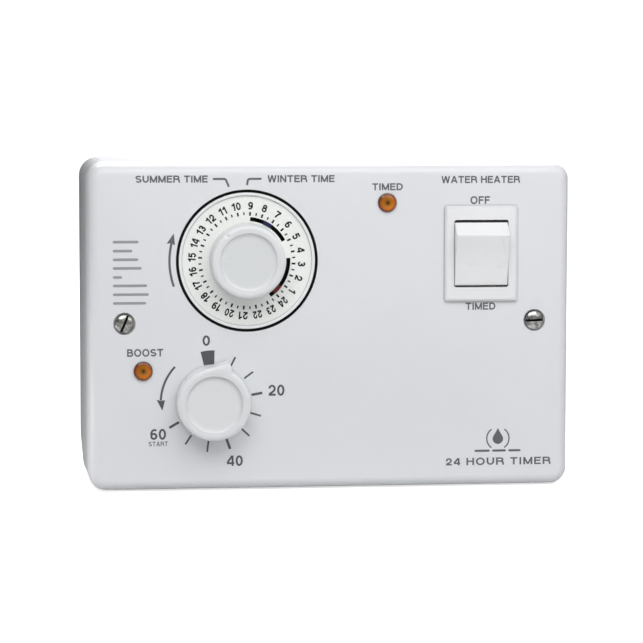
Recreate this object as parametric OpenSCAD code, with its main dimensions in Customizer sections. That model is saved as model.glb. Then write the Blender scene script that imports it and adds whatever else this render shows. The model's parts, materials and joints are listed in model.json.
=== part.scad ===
// Wall-mounted 24-hour water-heater timer with a one-hour boost control.
// Row frame: X right, Z up, wall plane Y = 0, front face at Y = -depth,
// origin at the centre of the back face. Every module is drawn flat on the
// wall (x right, y up, z out of the wall) and wall() stands it up.

/* [Case] */
// Width of the flat front face
face_w = 180; // [178:1:188]
// Height of the flat front face
face_h = 121; // [120:1:128]
// Depth from the wall to the front face
depth = 60; // [60:1:62]
// How much wider each side is at the wall than at the front
draft = 1.2; // [0.6:0.1:2]
// Outside corner radius of the front face
corner_r = 6; // [5:0.5:8]
// Rounding between the front face and the sides
edge_r = 4; // [2:0.5:4.5]
// Wall thickness of the mouldings
wall_t = 2.7; // [2.4:0.1:3]
// Height of the joint line above the wall
seam_z = 38; // [36:1:40]
// Distance of the bevelled lower edge from the centre, at the wall
bevel_y = 46; // [44:1:50]
// Depth of the bevelled lower edge
bevel_z = 30; // [24:1:32]

/* [Wall fixing] */
// Distance between the two wall screws
fix_pitch = 120.6; // [120.6:0.1:121]
// Wall screw hole diameter
fix_d = 5; // [4:0.5:5.5]

/* [Clock] */
// Clock dial diameter
dial_d = 50.8; // [50:0.2:51.4]
// Dial opening in the cover, diameter
aperture_d = 52.6; // [52.4:0.2:53]
// Dial knob diameter
dial_knob_d = 27; // [24:0.5:28]
// Height of the dial knob above the front face
dial_knob_h = 8; // [5:0.5:10]
// Teeth on the dial wheel
dial_teeth = 72; // [72:1:72]
// Teeth on the idler wheel
idler_teeth = 48; // [48:1:48]
// Teeth on each pinion
pinion_teeth = 12; // [12:1:12]
// Gear module
gear_m = 0.5; // [0.5:0.1:0.5]

/* [Boost] */
// Boost knob diameter
boost_knob_d = 27; // [24:0.5:28]
// Height of the boost knob above the front face
boost_knob_h = 9; // [6:0.5:11]
// Pointer angle at rest, clockwise from the top
boost_rest = 17; // [0:1:40]
// Teeth on the boost wheel
boost_teeth = 60; // [60:1:60]

/* [Rocker switch] */
// Bezel width
bezel_w = 27.5; // [27:0.1:28]
// Bezel height
bezel_h = 35.8; // [35.5:0.1:36.5]
// Swing of the rocker each side of its middle position
rock_a = 15; // [12:1:15]

/* [Hidden] */
$fn = 96;

seam_gap = 0.25;          // joint line left between the two mouldings
inner_z = depth - 3;      // inside of the cover's front wall
post_x = 76.85;           // cover screws
post_y = 1.7;
clock_c = [-31.4, 24.7];
boost_c = [-44.2, -27.75];
rock_c = [56.35, 26.9];
timed_n = [21.0, 46.0];
boost_n = [-70.0, -15.9];
// clock train, measured from the dial axis
idler_d = gear_m * (dial_teeth + pinion_teeth) / 2;
idler_p = [idler_d * cos(-45), idler_d * sin(-45)];
cm_d = gear_m * (idler_teeth + pinion_teeth) / 2;
cm_p = idler_p + [-cm_d, 0];
// boost train, measured from the boost axis
bm_d = gear_m * (boost_teeth + pinion_teeth) / 2;
bm_p = [bm_d, 0];
// bevelled lower rear edge, in the y-z section
bev_a = [-bevel_y, 0];
bev_b = [-(face_h / 2 + draft * (depth - bevel_z) / depth + 0.2), bevel_z];
bev_d = (bev_b - bev_a) / norm(bev_b - bev_a);
bev_n = [-bev_d[1], bev_d[0]];
rock_z = depth - 4;       // height of the rocker's pivot axis
see_z = rock_z - 11.6;    // height of the see-saw contacts' pivot axis
white = [0.93, 0.93, 0.94];

module wall() { rotate([90, 0, 0]) children(); }
module at(p) { translate([p[0], p[1], 0]) children(); }
function half_w(z) = face_w / 2 + draft * (depth - z) / depth;
function half_h(z) = face_h / 2 + draft * (depth - z) / depth;

// ---- small shared shapes ----
module rrect(w, h, r) {
  union() {
    square([w - 2 * r, h], center = true);
    square([w, h - 2 * r], center = true);
    for (x = [-1, 1], y = [-1, 1]) translate([x * (w / 2 - r), y * (h / 2 - r)]) circle(r);
  }
}
module rbox(w, h, r, z0, z1) { translate([0, 0, z0]) linear_extrude(z1 - z0) rrect(w, h, r); }
module cyl(r, z0, z1) { translate([0, 0, z0]) cylinder(r = r, h = z1 - z0); }
module blk(x0, x1, y0, y1, z0, z1) { translate([x0, y0, z0]) cube([x1 - x0, y1 - y0, z1 - z0]); }
// ring sector between two clockwise angles from the top
module sector(r0, r1, c1, c2, z0, z1) {
  translate([0, 0, z0]) rotate([0, 0, 90 - c2]) rotate_extrude(angle = c2 - c1)
    translate([r0, 0]) square([r1 - r0, z1 - z0]);
}
// disc whose top edge is rounded, used at the corners of the cover
module puck(r, e, z) {
  n = 8;
  rotate_extrude($fn = 64) polygon(concat([[0, z - e - 1], [r, z - e - 1]],
    [for (i = [0:n]) [r - e + e * cos(i * 90 / n), z - e + e * sin(i * 90 / n)]], [[0, z]]));
}
// pan-headed slotted screw, head down at z = 0, thread towards +z
module screw_up(hr, hh, r, l) {
  difference() {
    union() { cyl(hr, -hh, 0); cyl(r, -0.01, l); }
    translate([-hr - 1, -0.35, -hh - 0.1]) cube([2 * hr + 2, 0.7, 0.75]);
  }
}
// the same screw with its head on top at z = 0 and its thread towards -z
module screw_down(hr, hh, r, l) { mirror([0, 0, 1]) screw_up(hr, hh, r, l); }

// ---- involute gears ----
function inv_at(rb, r) = r <= rb ? 0 : let (t = sqrt(pow(r / rb, 2) - 1)) t * 180 / PI - atan(t);
// half angle of a tooth at radius r; play is the backlash taken off this gear
function tooth_a(n, m, play, r) = let (rp = n * m / 2, rb = rp * cos(20))
  90 / n - play / 2 / rp * 180 / PI + inv_at(rb, rp) - inv_at(rb, max(r, rb));
module gear2d(n, m, add, play = 0.08) {
  rp = n * m / 2;
  rb = rp * cos(20);
  ra = rp + add;
  rr = rp - 1.15 * m;
  lo = max(rb, rr + 0.02);
  rs = [for (i = [0:4]) lo + (ra - lo) * i / 4];
  polygon([for (k = [0:n - 1]) for (p = concat(
    [[rr, -tooth_a(n, m, play, lo)]],
    [for (r = rs) [r, -tooth_a(n, m, play, r)]],
    [for (i = [4:-1:0]) [rs[i], tooth_a(n, m, play, rs[i])]],
    [[rr, tooth_a(n, m, play, lo)]]))
      let (a = k * 360 / n + p[1]) [p[0] * cos(a), p[0] * sin(a)]]);
}
module gear(n, add, turn, z0, z1) {
  translate([0, 0, z0]) rotate([0, 0, turn]) linear_extrude(z1 - z0) gear2d(n, gear_m, add);
}
wheel_add = 0.7 * gear_m;
pin_add = 0.9 * gear_m;

// ---- round wires and coils ----
function unit(v) = v / norm(v);
function bez(a, b, c, d, t) = pow(1 - t, 3) * a + 3 * pow(1 - t, 2) * t * b
  + 3 * (1 - t) * t * t * c + pow(t, 3) * d;
function path4(a, b, c, d, n = 14) = [for (i = [0:n]) bez(a, b, c, d, i / n)];
module sweep(path, r, sides = 8, ref = [0.31, 0.47, 0.83]) {
  n = len(path);
  pts = [for (i = [0:n - 1]) let (
      t = unit(path[min(i + 1, n - 1)] - path[max(i - 1, 0)]),
      u = unit(cross(t, ref)), v = cross(t, u))
    for (k = [0:sides - 1]) path[i] + r * (cos(k * 360 / sides) * u + sin(k * 360 / sides) * v)];
  caps = concat(pts, [path[0], path[n - 1]]);
  faces = concat(
    [for (i = [0:n - 2], k = [0:sides - 1]) let (a = i * sides + k, b = i * sides + (k + 1) % sides)
      [a, b, b + sides]],
    [for (i = [0:n - 2], k = [0:sides - 1]) let (a = i * sides + k, b = i * sides + (k + 1) % sides)
      [a, b + sides, a + sides]],
    [for (k = [0:sides - 1]) [n * sides, (k + 1) % sides, k]],
    [for (k = [0:sides - 1]) [n * sides + 1, (n - 1) * sides + k, (n - 1) * sides + (k + 1) % sides]]);
  polyhedron(points = caps, faces = faces, convexity = 6);
}
module coil(r, wire_r, turns, z0, z1, per = 16) {
  n = turns * per;
  sweep([for (i = [0:n]) [r * cos(i * 360 / per), r * sin(i * 360 / per), z0 + (z1 - z0) * i / n]],
    wire_r, 6, [0.02, 0.03, 1]);
}

// ---- base ----
module bevel_cut(t) {
  o = [bev_n[0], bev_n[1]];
  p = bev_a - bev_d * 60 - o * t;
  q = bev_b + bev_d * 60 - o * t;
  rotate([90, 0, 90]) linear_extrude(2 * face_w, center = true)
    polygon([p, q, q + o * 120, p + o * 120]);
}
module base_outer() {
  hull() for (x = [-1, 1], y = [-1, 1]) {
    translate([x * (half_w(0) - corner_r - 1.2), y * (half_h(0) - corner_r - 1.2), 0])
      cylinder(r = corner_r + 1.2, h = 0.01, $fn = 64);
    translate([x * (half_w(seam_z) - corner_r - 0.9), y * (half_h(seam_z) - corner_r - 0.9), seam_z - 0.01])
      cylinder(r = corner_r + 0.9, h = 0.01, $fn = 64);
  }
}
module base_cavity() {
  iw = half_w(seam_z) - wall_t;
  ih = half_h(seam_z) - wall_t;
  difference() {
    union() {
      rbox(2 * iw, 2 * ih, 5, 2.5, seam_z - 5);
      rbox(2 * iw - 2.9, 2 * ih - 2.9, 4, seam_z - 5.1, seam_z + 6);
    }
    bevel_cut(wall_t);
  }
}
module back_box() color([0.74, 0.745, 0.76]) {
  iw = half_w(seam_z) - wall_t;
  ih = half_h(seam_z) - wall_t;
  difference() {
    union() {
      difference() {
        union() {
          base_outer();
          // lip that locates the cover
          rbox(2 * iw - 0.4, 2 * ih - 0.4, 4.6, seam_z - 3, seam_z + 2.4);
        }
        bevel_cut(0);
        base_cavity();
      }
      for (s = [-1, 1]) {
        translate([s * post_x, post_y, 0]) cyl(4.8, 1, seam_z);
        translate([s * fix_pitch / 2, 0, 0]) cyl(6.5, 1, 4);
      }
      for (y = [-43, -17]) translate([2, y, 0]) cyl(3.2, 1, 8.4);
      for (x = [15, 65]) translate([x, -36, 0]) cyl(3, 0.6, 2.5);
      blk(1, 13, 5, 15, 1, 2.5);
      // stiffening ribs on the back wall
      for (x = [-30, 30]) blk(x - 0.8, x + 0.8, 18, 56, 1, 5);
    }
    // posts are bored for the threaded inserts
    for (s = [-1, 1]) {
      translate([s * post_x, post_y, 0]) cyl(2.8, 24, seam_z + 1);
      translate([s * fix_pitch / 2, 0, 0]) cyl(fix_d / 2, -1, 6);
    }
    for (y = [-43, -17]) translate([2, y, 0]) cyl(1.3, 3, 9);
    for (x = [15, 65]) translate([x, -36, 0]) cyl(1.35, 0.9, 4);
    translate([7, 10, 0]) cyl(1.6, 1.0, 4);
    // rear cable entry
    translate([-24, -30, 0]) rbox(36, 24, 3, -1, 4);
    // two round knock-outs, thinned from outside, in the bevelled edge
    for (x = [20, 60]) translate([x, (bev_a[0] + bev_b[0]) / 2, bevel_z / 2])
      rotate([90 + atan(-bev_d[0] / bev_d[1]), 0, 0]) difference() { cyl(10.2, -1.4, 3); cyl(9.4, -2, 3); }
  }
}
module cover_inserts() color("goldenrod") for (s = [-1, 1]) translate([s * post_x, post_y, 0])
  difference() { cyl(2.75, 26, seam_z - 0.1); cyl(1.8, 25, seam_z + 1); }

blade_x = [for (i = [0:5]) 22 + 7.2 * i];
module terminal_block() color([0.25, 0.26, 0.28]) difference() {
  union() {
    blk(12, 68, -40, -13, 2.6, 18);
    blk(18, 62, -25.5, -16.5, 17, 21.6);
    for (i = [0:6]) blk(17.9 + 7.2 * i, 18.9 + 7.2 * i, -40, -27, 17, 19.4);
  }
  for (x = blade_x) {
    blk(x - 2.65, x + 2.65, -21.7, -20.3, 6.5, 23);
    blk(x - 3.1, x + 3.1, -38, -28, 2, 13.2);
    translate([x, -33, 0]) cyl(2.5, 12, 20);
    translate([x, -37, 8.5]) rotate([90, 0, 0]) cylinder(r = 2.3, h = 6, center = true);
  }
  for (x = [15, 65]) translate([x, -36, 0]) cyl(1.5, 2, 19);
}
module terminal_clamps() color("goldenrod") for (x = blade_x) difference() {
  blk(x - 3, x + 3, -37.9, -28.1, 2.8, 13);
  translate([x, -33, 8.5]) rotate([90, 0, 0]) cylinder(r = 2, h = 12, center = true);
  translate([x, -33, 0]) cyl(1.55, 8, 14);
}
module terminal_screws() color("silver") for (x = blade_x)
  translate([x, -33, 15.2]) screw_down(2.3, 2.0, 1.5, 5.4);
module terminal_block_screws() color("silver") for (x = [15, 65])
  translate([x, -36, 18.05]) screw_down(2.7, 1.8, 1.3, 16.9);
module earth_terminal() color("goldenrod") difference() {
  blk(2, 12, 6, 14, 2.6, 10);
  translate([7, 10, 0]) cyl(1.55, 2, 11);
  translate([4.2, 10, 6.3]) rotate([90, 0, 0]) cylinder(r = 1.2, h = 12, center = true);
  translate([9.8, 10, 6.3]) rotate([90, 0, 0]) cylinder(r = 1.2, h = 12, center = true);
}
module earth_screw() color("silver") translate([7, 10, 10.05]) screw_down(3, 2, 1.5, 8.6);
module cable_clamp() color([0.9, 0.9, 0.9]) difference() {
  rotate([0, 0, 0]) translate([2, -30, 0]) rbox(9, 33, 2, 8.5, 13.5);
  for (y = [-36, -24]) translate([2, y, 7]) rotate([0, 90, 0]) cylinder(r = 4, h = 20, center = true);
  for (y = [-43, -17]) translate([2, y, 0]) cyl(1.7, 8, 14);
}
module cable_clamp_screws() color("silver") for (y = [-43, -17])
  translate([2, y, 13.55]) screw_down(2.8, 1.8, 1.25, 10);

// ---- cover ----
module cover_outer() {
  z0 = seam_z + seam_gap;
  hull() for (x = [-1, 1], y = [-1, 1]) {
    translate([x * (face_w / 2 - corner_r), y * (face_h / 2 - corner_r), 0]) puck(corner_r, edge_r, depth);
    translate([x * (half_w(z0) - corner_r - 0.9), y * (half_h(z0) - corner_r - 0.9), z0])
      cylinder(r = corner_r + 0.9, h = 0.01, $fn = 64);
  }
}
module front_cover() color(white) {
  iw = half_w(seam_z) - wall_t;
  ih = half_h(seam_z) - wall_t;
  difference() {
    union() {
      difference() { cover_outer(); rbox(2 * iw, 2 * ih, 4.8, seam_z - 2, inner_z); }
      for (s = [-1, 1]) translate([s * post_x, post_y, 0]) cyl(4.4, seam_z + 0.3, inner_z + 1);
      // bosses for the clock and boost modules
      for (p = concat(clock_ears(), boost_ears())) at(p) cyl(3.4, 46.2, inner_z + 1);
      for (x = [14, 66]) at([x, -21]) cyl(3.4, 32.1, inner_z + 1);
      // collars round the neon lenses and the boost shaft
      for (p = [timed_n, boost_n]) at(p) cyl(5.2, inner_z - 0.6, inner_z + 1);
      // shallow ring round the dial opening, inside
      at(clock_c) difference() { cyl(aperture_d / 2 + 1.6, inner_z - 0.1, inner_z + 1); cyl(aperture_d / 2, 50, 60); }
    }
    at(clock_c) cyl(aperture_d / 2, inner_z - 5, depth + 1);
    at(boost_c) cyl(4.2, inner_z - 5, depth + 1);
    for (p = [timed_n, boost_n]) at(p) cyl(3.52, inner_z - 5, depth + 1);
    at(rock_c) rbox(24.8, 33, 1, inner_z - 5, depth + 1);
    for (s = [-1, 1]) translate([s * post_x, post_y, 0]) { cyl(2.1, seam_z - 2, depth + 1); cyl(4.1, depth - 1.2, depth + 1); }
    for (p = concat(clock_ears(), boost_ears())) at(p) cyl(1.3, 45, 55);
    for (x = [14, 66]) at([x, -21]) cyl(1.3, 31, 50);
  }
}
function clock_ears() = [clock_c + [-35.2, 17.4], clock_c + [-35.2, -16.6], clock_c + [35.2, 0]];
function boost_ears() = [boost_c + [-24.4, -10], boost_c + [28, 8]];
module cover_screws() color("silver") for (s = [-1, 1]) translate([s * post_x, post_y, 0])
  difference() {
    union() {
      rotate_extrude() polygon(concat([[0, depth - 1.2], [3.5, depth - 1.2], [3.5, depth - 0.1]],
        [for (i = [0:8]) [3.5 * cos(i * 90 / 8), depth - 0.1 + 1.25 * sin(i * 90 / 8)]]));
      cyl(1.75, 27, depth - 1.1);
    }
    rotate([0, 0, s < 0 ? 67 : 3]) translate([-5, -0.45, depth - 0.35]) cube([10, 0.9, 3]);
  }

// ---- clock module, drawn about the dial axis ----
// flat lug from the housing wall out to a screw, made of a bar and a round end
module lug(p, z0, z1) {
  sx = sign(p[0]);
  blk(min(p[0], sx * 20), max(p[0], sx * 20), p[1] - 3.8, p[1] + 3.8, z0, z1);
  at(p) cyl(3.8, z0, z1);
}
module clock_housing() color([0.2, 0.21, 0.22]) at(clock_c) difference() {
  union() {
    difference() {
      union() {
        rbox(62, 62, 4, 30, 54.7);
        for (p = clock_ears()) lug(p - clock_c, 44, 46);
      }
      rbox(58.4, 58.4, 2.2, 32, 56);
    }
    cyl(2.5, 31, 57);                                   // dial axle
    cyl(4.6, 31, 46.6);                                 // its shoulder
    at(idler_p) { cyl(1, 31, 51.6); cyl(2.2, 31, 43.6); }
    at([-25.5, 18]) { cyl(1, 31, 54.5); cyl(2.2, 31, 50.4); }
    for (x = [-15.75, -8.25]) at([x, 26.4]) cyl(1.5, 31, 48);
    for (p = [[-26.4, -25], [-26.4, 12.4], [-13.6, -25]]) at(p) cyl(1.6, 31, 33.5);
  }
  for (p = clock_ears()) at(p - clock_c) cyl(1.7, 43, 47);
  at(cm_p) { cyl(1.2, 29, 33); }
  // slot for the wires
  blk(20, 26, -32, -28, 38, 42);
}
module clock_front_plate() color([0.07, 0.07, 0.08]) at(clock_c) difference() {
  rbox(62, 62, 4, 54.8, 56.8);
  cyl(17.5, 54, 58);
}
module clock_module_screws() color("silver") for (p = clock_ears()) translate([p[0], p[1], 43.95]) screw_up(2.8, 1.8, 1.25, 9.5);
module clock_motor() color("silver") at(clock_c + cm_p) difference() {
  union() { cyl(9.6, 32.1, 42.6); cyl(10, 34, 36); cyl(2.6, 42.5, 43.2); }
  cyl(0.87, 37, 44);
}
// angle of the idler and of each pinion so that teeth meet gaps at rest
module clock_motor_pinion() color("goldenrod") at(clock_c + cm_p) union() {
  gear(pinion_teeth, pin_add, 180 / pinion_teeth, 43.5, 46.9);
  cyl(0.8, 37.5, 47.4);
}
module clock_idler_wheel() color([0.93, 0.9, 0.8]) at(clock_c + idler_p) difference() {
  union() {
    // wheel: a tooth points at the motor pinion (towards -x)
    gear(idler_teeth, wheel_add, 180, 44, 46);
    cyl(3.6, 43.8, 47.2);
    // pinion: a gap points at the dial axis
    gear(pinion_teeth, pin_add, 135 + 180 / pinion_teeth, 46, 51.2);
  }
  cyl(1.06, 43, 52);
  for (a = [0:60:300]) rotate([0, 0, a]) translate([7.6, 0, 0]) cyl(2, 43, 46.5);
}
module clock_dial_wheel() color([0.1, 0.1, 0.11]) at(clock_c) difference() {
  union() {
    gear(dial_teeth, wheel_add, -45, 48, 50.4);   // a tooth points at the idler
    cyl(4, 46.9, 59);
    cyl(6.6, 55.4, 56.5);
  }
  cyl(2.57, 46, 60);
  for (a = [0:60:300]) rotate([0, 0, a + 15]) translate([11, 0, 0]) cyl(3.2, 47, 51);
}
module friction_washer() color("silver") at(clock_c) difference() { cyl(7.2, 56.6, 57.4); cyl(4.1, 56, 58); }
module clock_dial() color([0.86, 0.88, 0.86]) at(clock_c) {
  dr = dial_d / 2;
  difference() {
    union() { cyl(dr, 57.5, 59.5);
      rotate_extrude() polygon([[dr - 1.3, 59.4], [dr, 59.4], [dr, 59.95], [dr - 0.25, 60.15], [dr - 0.95, 60.15], [dr - 1.2, 59.95], [dr - 1.3, 59.5]]); }
    cyl(4.06, 57, 61);
    sector(14.7, 16.2, 4.5, 62, 57, 61);
    sector(14.7, 16.2, 86.6, 146.4, 57, 61);
  }
}
// shared shape of the knobs: bevelled rim round a shallow dish
function dish(r, rr, z0, z1) = concat(
  [[0, z0], [r + 0.25, z0], [r + 0.3, z0 + 0.8]],
  [for (i = [0:6]) let (a = i * 15) [r - 1.1 + 1.1 * cos(a), z1 - 1.1 + 1.1 * sin(a)]],
  [for (i = [0:4]) let (a = i * 22.5) [rr + 0.55 - 0.55 * sin(a) - 0.0, z1 - 0.55 + 0.55 * cos(a)]],
  [for (i = [0:5]) let (a = i * 18) [rr - 0.35 - 1.2 + 1.2 * cos(a), z1 - 1.0 - 1.2 * sin(a)]],
  [[0, z1 - 2.45]]);
module dial_knob() color(white) at(clock_c) {
  z1 = depth + dial_knob_h;
  difference() {
    union() {
      rotate_extrude() polygon(dish(dial_knob_d / 2, 10.6, 59.6, z1));
      cyl(2.5, 57.3, 60);
    }
    // index dimple on the rim
    rotate([0, 0, 131]) translate([12.05, 0, z1 + 0.35]) sphere(r = 0.9, $fn = 48);
  }
}
// a tappet stands in a slot of the dial and carries a trip pin behind it
module tappet(c) at(clock_c) union() {
  sector(14.8, 16.1, c - 6, c + 6, 52.6, 59.9);
  sector(13.9, 17.1, c - 7, c + 7, 56.95, 57.4);
}
module on_tappet() color("firebrick") tappet(133.5);
module off_tappet() color("navy") tappet(29.5);

module clock_circuit_board() color([0.1, 0.35, 0.2]) at(clock_c) difference() {
  blk(-28.6, -11.6, -27.4, 15.2, 33.6, 35.2);
  for (p = [[-26.4, -25], [-26.4, 12.4], [-13.6, -25]]) at(p) cyl(0.8, 33, 36);
}
module board_components() color([0.12, 0.12, 0.12]) at(clock_c) union() {
  blk(-25, -17, -8, 2, 35.3, 37.2);
  translate([-15, 10, 0]) cyl(2.5, 35.3, 42);
  translate([-23, 9, 0]) cyl(2, 35.3, 40);
}
module quartz_crystal() color("silver") at(clock_c) translate([-20, -18, 0]) union() {
  rbox(11, 4.6, 2.25, 35.8, 39.2);
  rbox(12.4, 5.6, 2.7, 35.3, 35.9);
}
module backup_battery() color("silver") at(clock_c) translate([18.5, 17.5, 0]) union() {
  cyl(8, 32.2, 37.4);
  cyl(6.2, 37.3, 37.9);
}
module battery_clip() color("goldenrod") at(clock_c) translate([18.5, 17.5, 0]) union() {
  blk(-2.5, 2.5, -9.4, 9.4, 38, 38.5);
  for (s = [-1, 1]) blk(-2.5, 2.5, s * 9.2 - 0.25, s * 9.2 + 0.25, 32.1, 38.4);
}
// sealed snap-action switch, plunger on its -y side
module snap_switch(z0) {
  difference() {
    union() {
      blk(-10, 10, 0, 8.3, z0, z0 + 6.4);
      for (x = [-7.5, 0, 7.5]) blk(x - 1.6, x + 1.6, 2.5, 3.1, z0 - 5, z0 + 0.1);
    }
    for (x = [-7.3, 7.3]) translate([x, 5.6, 0]) cyl(1.15, z0 - 1, z0 + 8);
    translate([-1, 0, z0 + 3.2]) rotate([-90, 0, 0]) translate([0, 0, -1]) cylinder(r = 0.96, h = 6.6);
  }
}
module clock_microswitch() color([0.15, 0.15, 0.16]) at(clock_c) translate([-12, 20.4, 0]) snap_switch(48.05);
module clock_switch_plunger() color("firebrick") at(clock_c) translate([-13, 18.45, 51.25])
  rotate([-90, 0, 0]) cylinder(r = 0.9, h = 5.5);
module trip_lever(len, nose_x, nose_h, flip) {
  difference() {
    union() {
      linear_extrude(3.6) union() {
        circle(1.9);
        translate([0, -0.3]) square([len, 0.6]);
        // wound the same way round whichever side the nose is on
        polygon(flip > 0
          ? [[nose_x - 2.2, 0], [nose_x + 1.6, 0], [nose_x + 0.5, nose_h], [nose_x - 0.5, nose_h]]
          : [[nose_x - 2.2, 0], [nose_x - 0.5, -nose_h], [nose_x + 0.5, -nose_h], [nose_x + 1.6, 0]]);
      }
    }
    translate([0, 0, -1]) cylinder(r = 1.06, h = 6);
  }
}
module clock_trip_lever() color([0.9, 0.9, 0.85]) at(clock_c) translate([-25.5, 18, 50.6])
  trip_lever(21.6, 19.6, 2.55, -1);

// ---- boost module, drawn about the boost axis ----
module boost_case2d() { translate([1.75, -1.75]) rrect(44.5, 44.5, 3.5); }
module boost_housing() color([0.2, 0.21, 0.22]) at(boost_c) difference() {
  union() {
    difference() {
      union() {
        translate([0, 0, 35]) linear_extrude(19.9) boost_case2d();
        for (p = boost_ears()) lug(p - boost_c, 44, 46);
      }
      translate([1.75, -1.75, 0]) rbox(40.9, 40.9, 2, 37, 56);
    }
    cyl(4, 36, 38.4);
    at([-15, -12.4]) { cyl(1, 36, 49.8); cyl(2.2, 36, 45.4); }
    for (x = [-6.75, 0.75]) at([x, -19.6]) cyl(1.4, 36, 45);
  }
  cyl(1.56, 34, 40);
  at(bm_p) cyl(2, 34, 38);
  for (p = boost_ears()) at(p - boost_c) cyl(1.7, 43, 47);
  blk(21, 25, -16, -10, 39, 43);
}
module boost_front_plate() color([0.12, 0.12, 0.13]) at(boost_c) difference() {
  translate([0, 0, 55]) linear_extrude(1.8) boost_case2d();
  cyl(3.06, 54, 58);
}
module boost_module_screws() color("silver") for (p = boost_ears()) translate([p[0], p[1], 43.95]) screw_up(2.8, 1.8, 1.25, 9.5);
module boost_motor() color("silver") at(boost_c + [4, -1]) difference() {
  union() { cyl(17, 21, 34.3); cyl(17.6, 26, 27); at([14, 1]) cyl(1.9, 34.2, 35.4); }
  at(bm_p - [4, -1]) cyl(0.87, 29, 36);
}
module boost_motor_pinion() color("goldenrod") at(boost_c + bm_p) union() {
  // gaps face the wheel's tooth on the -x side
  gear(pinion_teeth, pin_add, 180 + 180 / pinion_teeth, 41, 44.4);
  cyl(0.8, 29.5, 45.2);
}
module boost_wheel() color([0.93, 0.9, 0.8]) at(boost_c) difference() {
  union() { gear(boost_teeth, wheel_add, 0, 41.5, 43.9); cyl(5.5, 40, 45.8); }
  cyl(3.03, 39, 47);
  for (a = [0:60:300]) rotate([0, 0, a + 30]) translate([9.8, 0, 0]) cyl(2.6, 41, 45);
}
module boost_cam() color([0.85, 0.3, 0.2]) at(boost_c) difference() {
  cyl(11, 46, 49);
  cyl(3.03, 45, 50);
  // notch that lets the switch drop out at zero
  sector(8.2, 12, 180 + boost_rest - 13, 180 + boost_rest + 3, 45, 50);
}
module boost_shaft() color("silver") at(boost_c) union() { cyl(3, 38.6, 65); cyl(1.5, 35.2, 38.7); }
module boost_knob() color(white) at(boost_c) {
  z1 = depth + boost_knob_h;
  r = boost_knob_d / 2;
  difference() {
    union() {
      rotate_extrude() polygon(dish(r, 10.6, 60.6, z1));
      // pointer nib on the rim
      rotate([0, 0, 90 - boost_rest]) translate([0, 0, 60.6]) linear_extrude(z1 - 0.5 - 60.6)
        polygon([[r * cos(16), r * sin(16)], [16.75, 0.35], [16.75, -0.3], [r * cos(11), -r * sin(11)], [r - 3, 0]]);
    }
    cyl(3.03, 60, 65.2);
  }
}
module boost_microswitch() color([0.15, 0.15, 0.16]) at(boost_c) translate([-3, -13.85, 0]) mirror([0, 1, 0]) snap_switch(45.05);
module boost_switch_plunger() color("firebrick") at(boost_c) translate([-4, -12.85, 48.25])
  rotate([90, 0, 0]) cylinder(r = 0.9, h = 5.5);
module boost_trip_lever() color([0.9, 0.9, 0.85]) at(boost_c) translate([-15, -12.4, 45.8])
  trip_lever(18, 16, 1.25, 1);

// ---- rocker switch ----
module rocker_housing() color(white) at(rock_c) difference() {
  union() {
    // bezel with a stepped, softened edge
    rbox(bezel_w, bezel_h, 0.9, depth + 0.02, depth + 0.85);
    rbox(bezel_w - 0.7, bezel_h - 0.7, 0.7, depth + 0.8, depth + 1.15);
    rbox(bezel_w - 1.5, bezel_h - 1.5, 0.5, depth + 1.1, depth + 1.3);
    rbox(24.4, 32.6, 0.8, 36, depth + 0.5);
    // snap lugs that hold it in the cover
    for (s = [-1, 1]) blk(-4, 4, s * 16.6 - 0.7, s * 16.6 + 0.7, 52.5, 56.8);
  }
  rbox(20.5, 25.1, 0.8, depth - 0.2, depth + 2);
  translate([0, 0, 38]) linear_extrude(depth - 0.1 - 38) square([20.7, 27.8], center = true);
  translate([0, 0, rock_z]) rotate([0, 90, 0]) cylinder(r = 1.56, h = 23.4, center = true);
  for (x = [-6, 6], y = [-10.5, 0, 10.5]) blk(x - 3.2, x + 3.2, y - 0.45, y + 0.45, 35, 39);
}
// side section of the rocker in its middle position, about the pivot
function rock_face() = [for (i = [0:12]) let (y = 9.45 - 18.9 * i / 12) [y, 8.95 - 0.55 * (1 - pow(y / 9.45, 2))]];
module rocker_section() {
  polygon(concat(
    [[-11.4, -1.6], [11.4, -1.6], [12.7, 0.3], [12.96, 1.6], [12.85, 2.4], [10.55, 7.7], [10.15, 8.6], [9.85, 8.85]],
    rock_face(),
    [[-9.85, 8.85], [-10.15, 8.6], [-10.55, 7.7], [-12.85, 2.4], [-12.96, 1.6], [-12.7, 0.3]]));
}
// everything that tilts with the rocker: middle position, then swung to rest
module rocking() { translate([rock_c[0], rock_c[1], rock_z]) rotate([rock_a, 0, 0]) children(); }
module rocker() color(white) rocking() difference() {
  union() {
    rotate([90, 0, 90]) linear_extrude(20.1, center = true) rocker_section();
    for (x = [-6, 6]) translate([x, 0, -6]) cylinder(r = 3.1, h = 5);
    rotate([0, 90, 0]) cylinder(r = 1.5, h = 23, center = true);
  }
  for (x = [-6, 6]) translate([x, 0, -7]) cylinder(r = 1.95, h = 11);
}
module rocker_plungers() color([0.9, 0.9, 0.85]) rocking() for (x = [-6, 6]) translate([x, 0, 0]) union() {
  translate([0, 0, -9.2]) cylinder(r = 1.88, h = 6.8);
  translate([0, 0, -10.5]) cylinder(r1 = 0.9, r2 = 1.88, h = 1.31);
}
module rocker_springs() color("silver") rocking() for (x = [-6, 6]) translate([x, 0, 0]) coil(1.35, 0.22, 5, -2.05, 3.6);
module seesaw_contacts() color([0.72, 0.45, 0.25]) at(rock_c) translate([0, 0, see_z]) rotate([-8, 0, 0])
  for (x = [-6, 6]) translate([x, 0, 0]) union() {
    translate([-2.5, -11, -0.2]) cube([5, 22, 0.7]);
    rotate([0, 90, 0]) cylinder(r = 0.6, h = 5, center = true);
  }
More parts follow.
